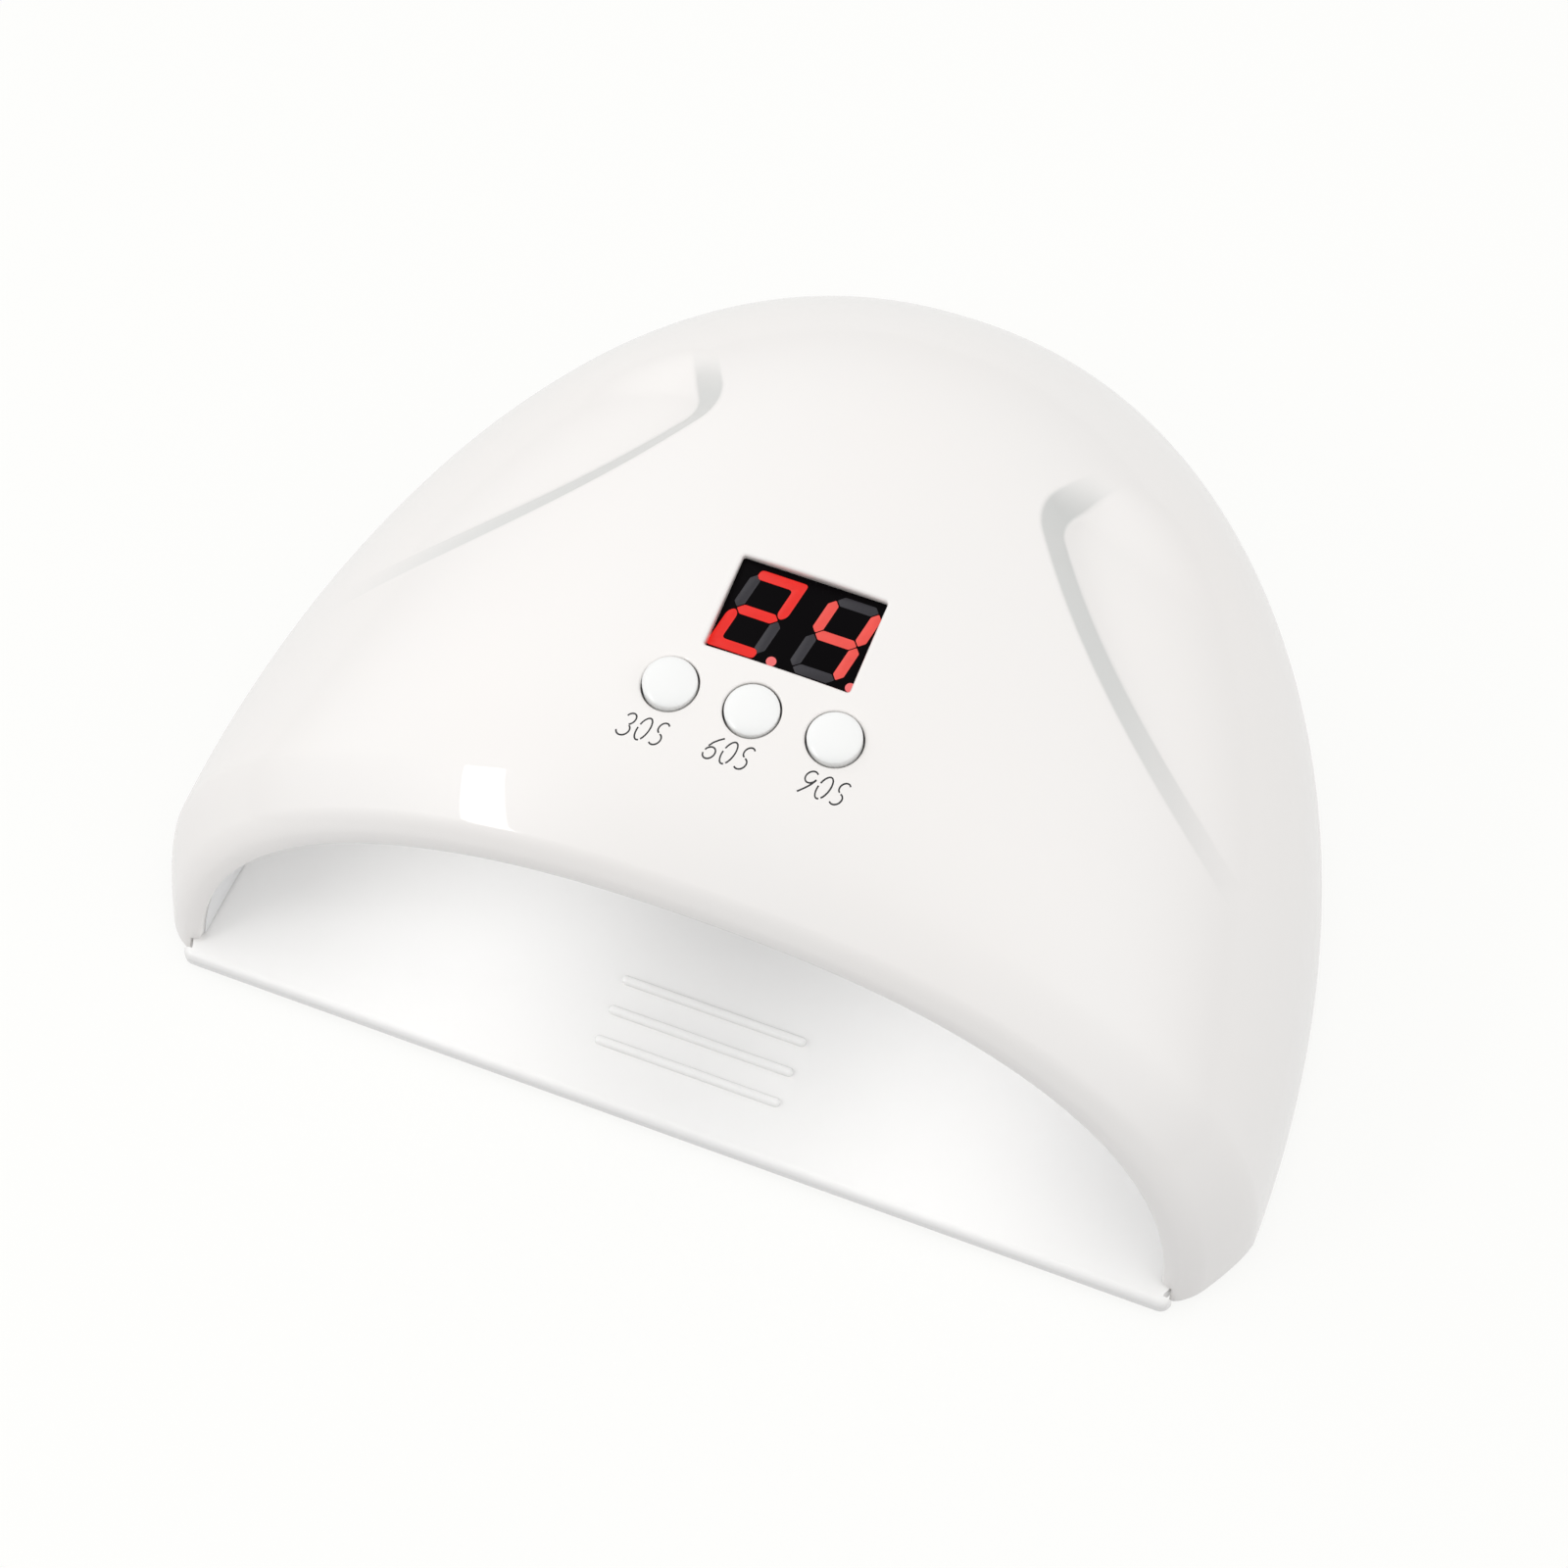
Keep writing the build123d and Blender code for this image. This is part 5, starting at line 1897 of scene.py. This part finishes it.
@dataclass
class ButtonLabels:
    """Times below the buttons, drawn as thin italic hairlines in near black, which is painted
    shade standing for the shaded edges of embossed letters.
    """

    panel: Panel
    places: tuple[tuple[str, float, float], ...] = (
        ("30", -15.2, -23.9),
        ("60", -1.7, -23.4),
        ("90", 13.5, -23.6),
    )
    height: float = 3.7
    pitch: float = 2.55
    margin: float = 0.1
    slant: float = 14.0
    line_radius: float = 0.25
    line_corners: int = 8
    proud: float = 0.05

    STROKES = {
        "0": (bow(0.3, 0.5, 0.24, 0.5, -60, 165), bow(0.3, 0.5, 0.24, 0.5, 180, 285)),
        "3": (bow(0.27, 0.75, 0.21, 0.25, 160, -75), bow(0.25, 0.25, 0.26, 0.25, 60, -160)),
        "6": (
            [(0.5, 1.0), (0.33, 0.86), (0.19, 0.7), (0.1, 0.52)],
            bow(0.29, 0.26, 0.23, 0.26, 165, -165),
        ),
        "9": (
            bow(0.31, 0.74, 0.23, 0.26, 350, 40),
            [(0.54, 0.66), (0.46, 0.45), (0.33, 0.24), (0.14, 0.0)],
        ),
        "S": (bow(0.33, 0.76, 0.2, 0.24, 35, 250), bow(0.27, 0.25, 0.23, 0.25, 75, -130)),
    }

    def line(self, draft: MeshDraft, spots: list[Pair]) -> None:
        """Lays a hairline on the dome.

        Args:
            draft: Where the faces go.
            spots: Its path in the panel's plane.
        """
        up = self.panel.frame()[3]
        path = self.panel.on_dome(np.array(spots)) + up * (self.proud - self.line_radius)
        turns = np.arange(self.line_corners) * 2.0 * math.pi / self.line_corners
        rings: list[Array] = []
        for index, point in enumerate(path):
            along = path[min(index + 1, len(path) - 1)] - path[max(index - 1, 0)]
            side = np.cross(along, up)
            side /= np.linalg.norm(side)
            ring = np.outer(np.cos(turns), side) + np.outer(np.sin(turns), up)
            rings.append(draft.add(point + ring * self.line_radius))
        draft.tube(rings)

    def build(self, paint: Paint) -> list[bpy.types.Object]:
        """Makes the three labels.

        Args:
            paint: The finishes.

        Returns:
            The pieces.
        """
        pieces: list[bpy.types.Object] = []
        lean, size = math.tan(math.radians(self.slant)), self.height
        for seconds, x, y in self.places:
            draft = MeshDraft()
            word = f"{seconds}S"
            for index, letter in enumerate(word):
                left = x + (index - len(word) / 2.0) * self.pitch + self.margin * self.pitch
                for stroke in self.STROKES[letter]:
                    spots = [
                        (left + (sx + (sy - 0.5) * lean) * size, y + (sy - 0.5) * size)
                        for sx, sy in stroke
                    ]
                    self.line(draft, spots)
            # The hairlines take the near black painted shade.
            piece = draft.piece(f"label_{seconds}", paint.get(Finish.PAINTED_LETTER_SHADE))
            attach(piece, Body.SHELL.value)
            pieces.append(piece)
        return pieces


@dataclass
class LampRow:
    """Beads of one lamp strip: clear domed lenses over a metal cup with a yellow chip."""

    form: DomeForm
    name: str
    depth: float
    tunnel_gap: float = 2.7
    tunnel_wall: float = 1.4
    tunnel_run: float = 125.0
    side_power: float = 2.2
    top_power: float = 3.0
    strip_width: float = 8.0
    strip_gap: float = 0.35
    angles: tuple[int, ...] = (24, 49, 75, 105, 131, 156)
    radius: float = 2.5
    reach: float = 1.4
    seat: float = 0.2
    seat_edge: float = 0.1
    crown: float = 1.3
    crown_steps: int = 8
    cup_radii: tuple[float, ...] = (0.0, 1.7, 1.9, 1.9, 1.6, 1.0, 0.0)
    cup_levels: tuple[float, ...] = (-0.3, -0.3, -0.4, -0.9, -0.9, -0.5, -0.5)
    chip: float = 0.62
    chip_corner: float = 0.12
    chip_spacing: float = 2.0
    chip_steps: tuple[Pair, ...] = ((1.0, -0.45), (1.0, -0.7), (0.85, -0.78))
    turns: int = 40

    def tunnel(self, depth: float, inset: float) -> Pair:
        """Finds the size of the tunnel's section.

        Args:
            depth: Depth of the section.
            inset: How far the section is drawn in.

        Returns:
            Its half width and its height.
        """
        part = depth / (self.tunnel_run - inset)
        mouth = np.array(0.0)
        wide = float(self.form.half_width(mouth, self.tunnel_gap)) - inset
        high = float(self.form.height(mouth, self.tunnel_gap)) - inset
        side = math.sqrt(1.0 - part**self.side_power)
        return wide * side, high * math.sqrt(1.0 - part**self.top_power)

    def seats(self) -> list[tuple[Array, float]]:
        """Finds where the beads sit.

        Returns:
            Frame of each bead, with z out of the tunnel, and its length down to its lens.
        """
        strip_front = self.depth - self.strip_width / 2.0
        wide, high = (size + self.strip_gap for size in self.tunnel(strip_front, 0.0))
        inner_wide, inner_high = self.tunnel(self.depth, self.tunnel_wall)
        power = float(self.form.squareness(np.array(self.depth)))
        lean = self.form.mouth_lean * float(self.form.nearness(np.array(self.depth)))
        stretch = math.sqrt(1.0 + lean * lean)
        upward = np.array([0.0, lean, 1.0]) / stretch
        ahead = np.array([0.0, -1.0, lean]) / stretch
        result: list[tuple[Array, float]] = []
        for angle in self.angles:
            turn = math.radians(angle)
            x = wide * math.copysign(abs(math.cos(turn)) ** (2.0 / power), math.cos(turn))
            rise = high * math.sin(turn) ** (2.0 / power)
            across = math.copysign((abs(x) / wide) ** (power - 1.0) / wide, x)
            climb = (rise / high) ** (power - 1.0) / high
            out = np.array([1.0, 0.0, 0.0]) * across + upward * climb
            out /= np.linalg.norm(out)
            level = (self.form.skirt + rise) * stretch
            origin = np.array([x, self.depth - MIDDLE_DEPTH, 0.0]) + upward * level
            run = (wide - inner_wide) * out[0] ** 2 + (high - inner_high) * (1.0 - out[0] ** 2)
            frame = np.array([origin, ahead, np.cross(out, ahead), out])
            result.append((frame, run + self.reach))
        return result

    def build(self, paint: Paint) -> list[bpy.types.Object]:
        """Makes the lenses, the cups and the chips.

        Args:
            paint: The finishes.

        Returns:
            The pieces.
        """
        lenses, cups, chips = MeshDraft(), MeshDraft(), MeshDraft()
        ball = (self.radius**2 + self.crown**2) / (2.0 * self.crown)
        size = (2 * self.chip, 2 * self.chip)
        block = box_outline(size, self.chip_corner, self.chip_spacing).spots
        for frame, length in self.seats():
            profile = [(0.0, -length)]
            for step in range(1, self.crown_steps + 1):
                radius = self.radius * step / self.crown_steps
                profile.append((radius, ball - math.sqrt(ball**2 - radius**2) - length))
            profile.append((self.radius, -self.seat - self.seat_edge))
            profile += [(self.radius - self.seat_edge, -self.seat), (0.0, -self.seat)]
            lathe(lenses, profile, frame, self.turns)
            lathe(cups, list(zip(self.cup_radii, self.cup_levels)), frame, self.turns)
            rings = [
                chips.add(frame[0] + raised(block * grow, level) @ frame[1:])
                for grow, level in self.chip_steps
            ]
            chips.tube(rings)
        pieces = [
            lenses.piece(f"bead_lenses_{self.name}", paint.get(Finish.BEAD)),
            cups.piece(f"bead_cups_{self.name}", paint.get(Finish.CUP)),
            chips.piece(f"bead_chips_{self.name}", paint.get(Finish.CHIP)),
        ]
        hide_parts(f"lamp_beads_{self.name}")
        for piece in pieces:
            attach(piece, Body.SHELL.value)
        return pieces


class MachinedParts:
    """Parts whose modelled shape is already right and that only need their finish."""

    FINISHES = {
        Finish.TUNNEL: ("inner_liner",),
        Finish.TRAY: ("base_tray",),
        Finish.FOOT: ("tray_feet",),
        Finish.STEEL: ("tray_keepers", "liner_screws", "board_screws", "jack_nut"),
        Finish.NICKEL: ("shell_magnets",),
        Finish.BOARD: ("control_board",),
        Finish.BLACK: (
            "control_chip",
            "power_inductor",
            "power_jack",
            *(f"switch_body_{time}" for time in TIMES),
        ),
        Finish.CAN: ("filter_capacitor",),
        Finish.CREAM: (
            "power_connector",
            "lamp_connector",
            *(f"switch_plunger_{time}" for time in TIMES),
        ),
        Finish.RED: ("jack_leads",),
        Finish.WIRE_BLACK: ("lamp_leads",),
        Finish.BRASS: ("jack_pin", "jack_tabs"),
        Finish.TIN: ("display_pins", "strip_jumpers"),
        Finish.STRIP: ("lamp_strip_front", "lamp_strip_middle", "lamp_strip_rear"),
    }

    def dress(self, nodes: dict[str, bpy.types.Object], paint: Paint) -> int:
        """Gives the parts their finishes.

        Args:
            nodes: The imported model's objects by name.
            paint: The finishes.

        Returns:
            How many parts were dressed.
        """
        count = 0
        for finish, names in self.FINISHES.items():
            for name in names:
                for slot in nodes[name].material_slots:
                    slot.material = paint.get(finish)
                count += 1
        return count


@dataclass(frozen=True)
class SoftLamp:
    """Flat soft lamp that points at the object, or straight down where it isn't seen."""

    name: str
    place: Place
    size: Pair
    power: float
    roll: float = 0.0
    seen: bool = True
    aim: Place = (0.0, 0.0, 35.0)

    def hang(self) -> None:
        """Hangs the lamp."""
        data = bpy.data.lights.new(self.name, "AREA")
        data.shape = "RECTANGLE"
        data.size, data.size_y = self.size[0] * MM, self.size[1] * MM
        data.energy = self.power
        lamp = bpy.data.objects.new(self.name, data)
        lamp.location = Vector(self.place) * MM
        way = Vector(self.aim) * MM - lamp.location if self.seen else Vector((0.0, 0.0, -1.0))
        turn = Quaternion((0.0, 0.0, 1.0), math.radians(self.roll))
        lamp.rotation_mode = "QUATERNION"
        lamp.rotation_quaternion = way.to_track_quat("-Z", "Y") @ turn
        lamp.visible_camera = lamp.visible_glossy = lamp.visible_transmission = self.seen
        bpy.context.collection.objects.link(lamp)


@dataclass
class Studio:
    """Pale floor, soft lamps and the camera at the photograph's angle."""

    target: Place = (-3.86, -11.2, 9.51)
    azimuth: float = 21.48
    elevation: float = 60.0
    distance: float = 672.07
    lens: float = 94.5
    sensor: float = 36.0
    clip: Pair = (0.05, 20.0)
    floor_half: float = 3000.0
    floor_colour: Colour = (0.86, 0.86, 0.85)
    floor_bounce: Colour = (0.55, 0.55, 0.56)
    floor_white: float = 0.87
    floor_glow: Colour = (1.0, 1.0, 0.985)
    tooth_scale: float = 60.0
    tooth_rise: float = 0.05
    tooth_strength: float = 0.2
    overhead: float = 0.57
    sideways: float = 2.3
    behind: float = 0.1
    ahead: float = 0.2
    lamps: tuple[SoftLamp, ...] = (
        SoftLamp("key", (110.0, -200.0, 1180.0), (1000.0, 1000.0), 2.4, seen=False),
        SoftLamp("window", (-361.0, -351.0, 463.0), (66.0, 300.0), 0.52, 55.0),
        SoftLamp("curing_glow_left", (-42.0, -40.0, 36.0), (40.0, 60.0), 0.0075, seen=False),
        SoftLamp("curing_glow_right", (42.0, -40.0, 36.0), (40.0, 60.0), 0.0075, seen=False),
    )

    def look(self, azimuth: float, elevation: float) -> Vector:
        """Finds the direction from the target to a place in the sky.

        Args:
            azimuth: Turn from the front to the right, in degrees.
            elevation: Angle above the table, in degrees.

        Returns:
            The direction.
        """
        turn, rise = math.radians(azimuth), math.radians(elevation)
        flat = math.cos(rise)
        return Vector((math.sin(turn) * flat, -math.cos(turn) * flat, math.sin(rise)))

    def build(self) -> None:
        """Sets up the floor, the world, the lamps and the camera."""
        self.lay_floor()
        self.light_world()
        for lamp in self.lamps:
            lamp.hang()
        back = self.look(self.azimuth, self.elevation)
        data = bpy.data.cameras.new("camera")
        data.lens = self.lens
        data.sensor_width = self.sensor
        data.clip_start, data.clip_end = self.clip
        camera = bpy.data.objects.new("camera", data)
        camera.location = (Vector(self.target) + back * self.distance) * MM
        camera.rotation_mode = "QUATERNION"
        camera.rotation_quaternion = (-back).to_track_quat("-Z", "Y")
        bpy.context.collection.objects.link(camera)
        bpy.context.scene.camera = camera
        bpy.context.scene.view_settings.view_transform = "Standard"

    def lay_floor(self) -> None:
        """Lays the floor, which looks white and still takes the lamp's shadow."""
        draft = MeshDraft()
        half = self.floor_half
        corners = np.array([(-half, -half), (half, -half), (half, half), (-half, half)])
        draft.face(*draft.add(raised(corners, 0.0)))
        material, tree = new_tree("floor_paper")
        path = tree.make("ShaderNodeLightPath", output="Is Camera Ray")
        glossy = tree.make("ShaderNodeLightPath", output="Is Glossy Ray")
        seen = (path + glossy).above(0.5) * self.floor_white
        tooth = tree.noise(self.tooth_scale)
        paper = tree.make(
            "ShaderNodeBsdfDiffuse",
            sockets={
                "Color": tree.blend(path, self.floor_bounce, self.floor_colour),
                "Normal": tree.bump(tooth, self.tooth_rise, self.tooth_strength),
            },
            output="BSDF",
        )
        shine = {"Color": self.floor_glow, "Strength": 1.0}
        glow = tree.make("ShaderNodeEmission", sockets=shine, output="Emission")
        tree.make_output(tree.make("ShaderNodeMixShader", sockets={0: seen, 1: paper, 2: glow}))
        floor = draft.piece("floor", material)

    def light_world(self) -> None:
        """Surrounds the lamp with even light that looks white to the camera."""
        world = bpy.data.worlds.new("studio")
        world.use_nodes = True
        tree = ShaderTree(world.node_tree)
        way = tree.make("ShaderNodeTexCoord", output="Generated")
        x, y, z = (
            tree.make("ShaderNodeSeparateXYZ", sockets={"Vector": way}, output=axis)
            for axis in "XYZ"
        )
        sky = self.overhead + x * x * z * z.above(0.0) * self.sideways
        sky = sky + y * y.above(0.0) * self.behind + y * (1.0 - y.above(0.0)) * self.ahead
        seen = tree.make("ShaderNodeLightPath", output="Is Camera Ray")
        strength = sky + seen * (1.0 - sky)
        sockets = {"Color": (1.0, 1.0, 1.0), "Strength": strength}
        shine = tree.make("ShaderNodeBackground", sockets=sockets, output="Background")
        tree.make_output(shine, "ShaderNodeOutputWorld")
        bpy.context.scene.world = world


def main() -> None:
    """Loads the model, builds the looks of every sub-assembly and logs each piece's face count
    and how many parts were dressed.
    """
    logging.basicConfig(level=logging.INFO, format="%(message)s")
    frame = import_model()
    paint = Paint()
    form = DomeForm()
    panel = Panel(form)
    shell = TopShell(form, ScoopForm(), panel)
    pieces = [shell.build(paint)]
    bodies = (Body.BUTTON_30, Body.BUTTON_60, Body.BUTTON_90)
    for time, body, place in zip(TIMES, bodies, shell.button_places):
        pieces.append(PushButton(panel, time, body, place, shell.button_row).build(paint))
    pieces += TimerDisplay(panel).build(paint)
    pieces += ButtonLabels(panel).build(paint)
    for name, depth in STRIPS:
        pieces += LampRow(form, name, depth).build(paint)
    for piece in pieces:
        LOG.info("%s: %d faces", piece.name, len(piece.data.polygons))
    LOG.info("parts dressed: %d", MachinedParts().dress(frame["nodes"], paint))
    Studio().build()


if __name__ == "__main__":
    main()
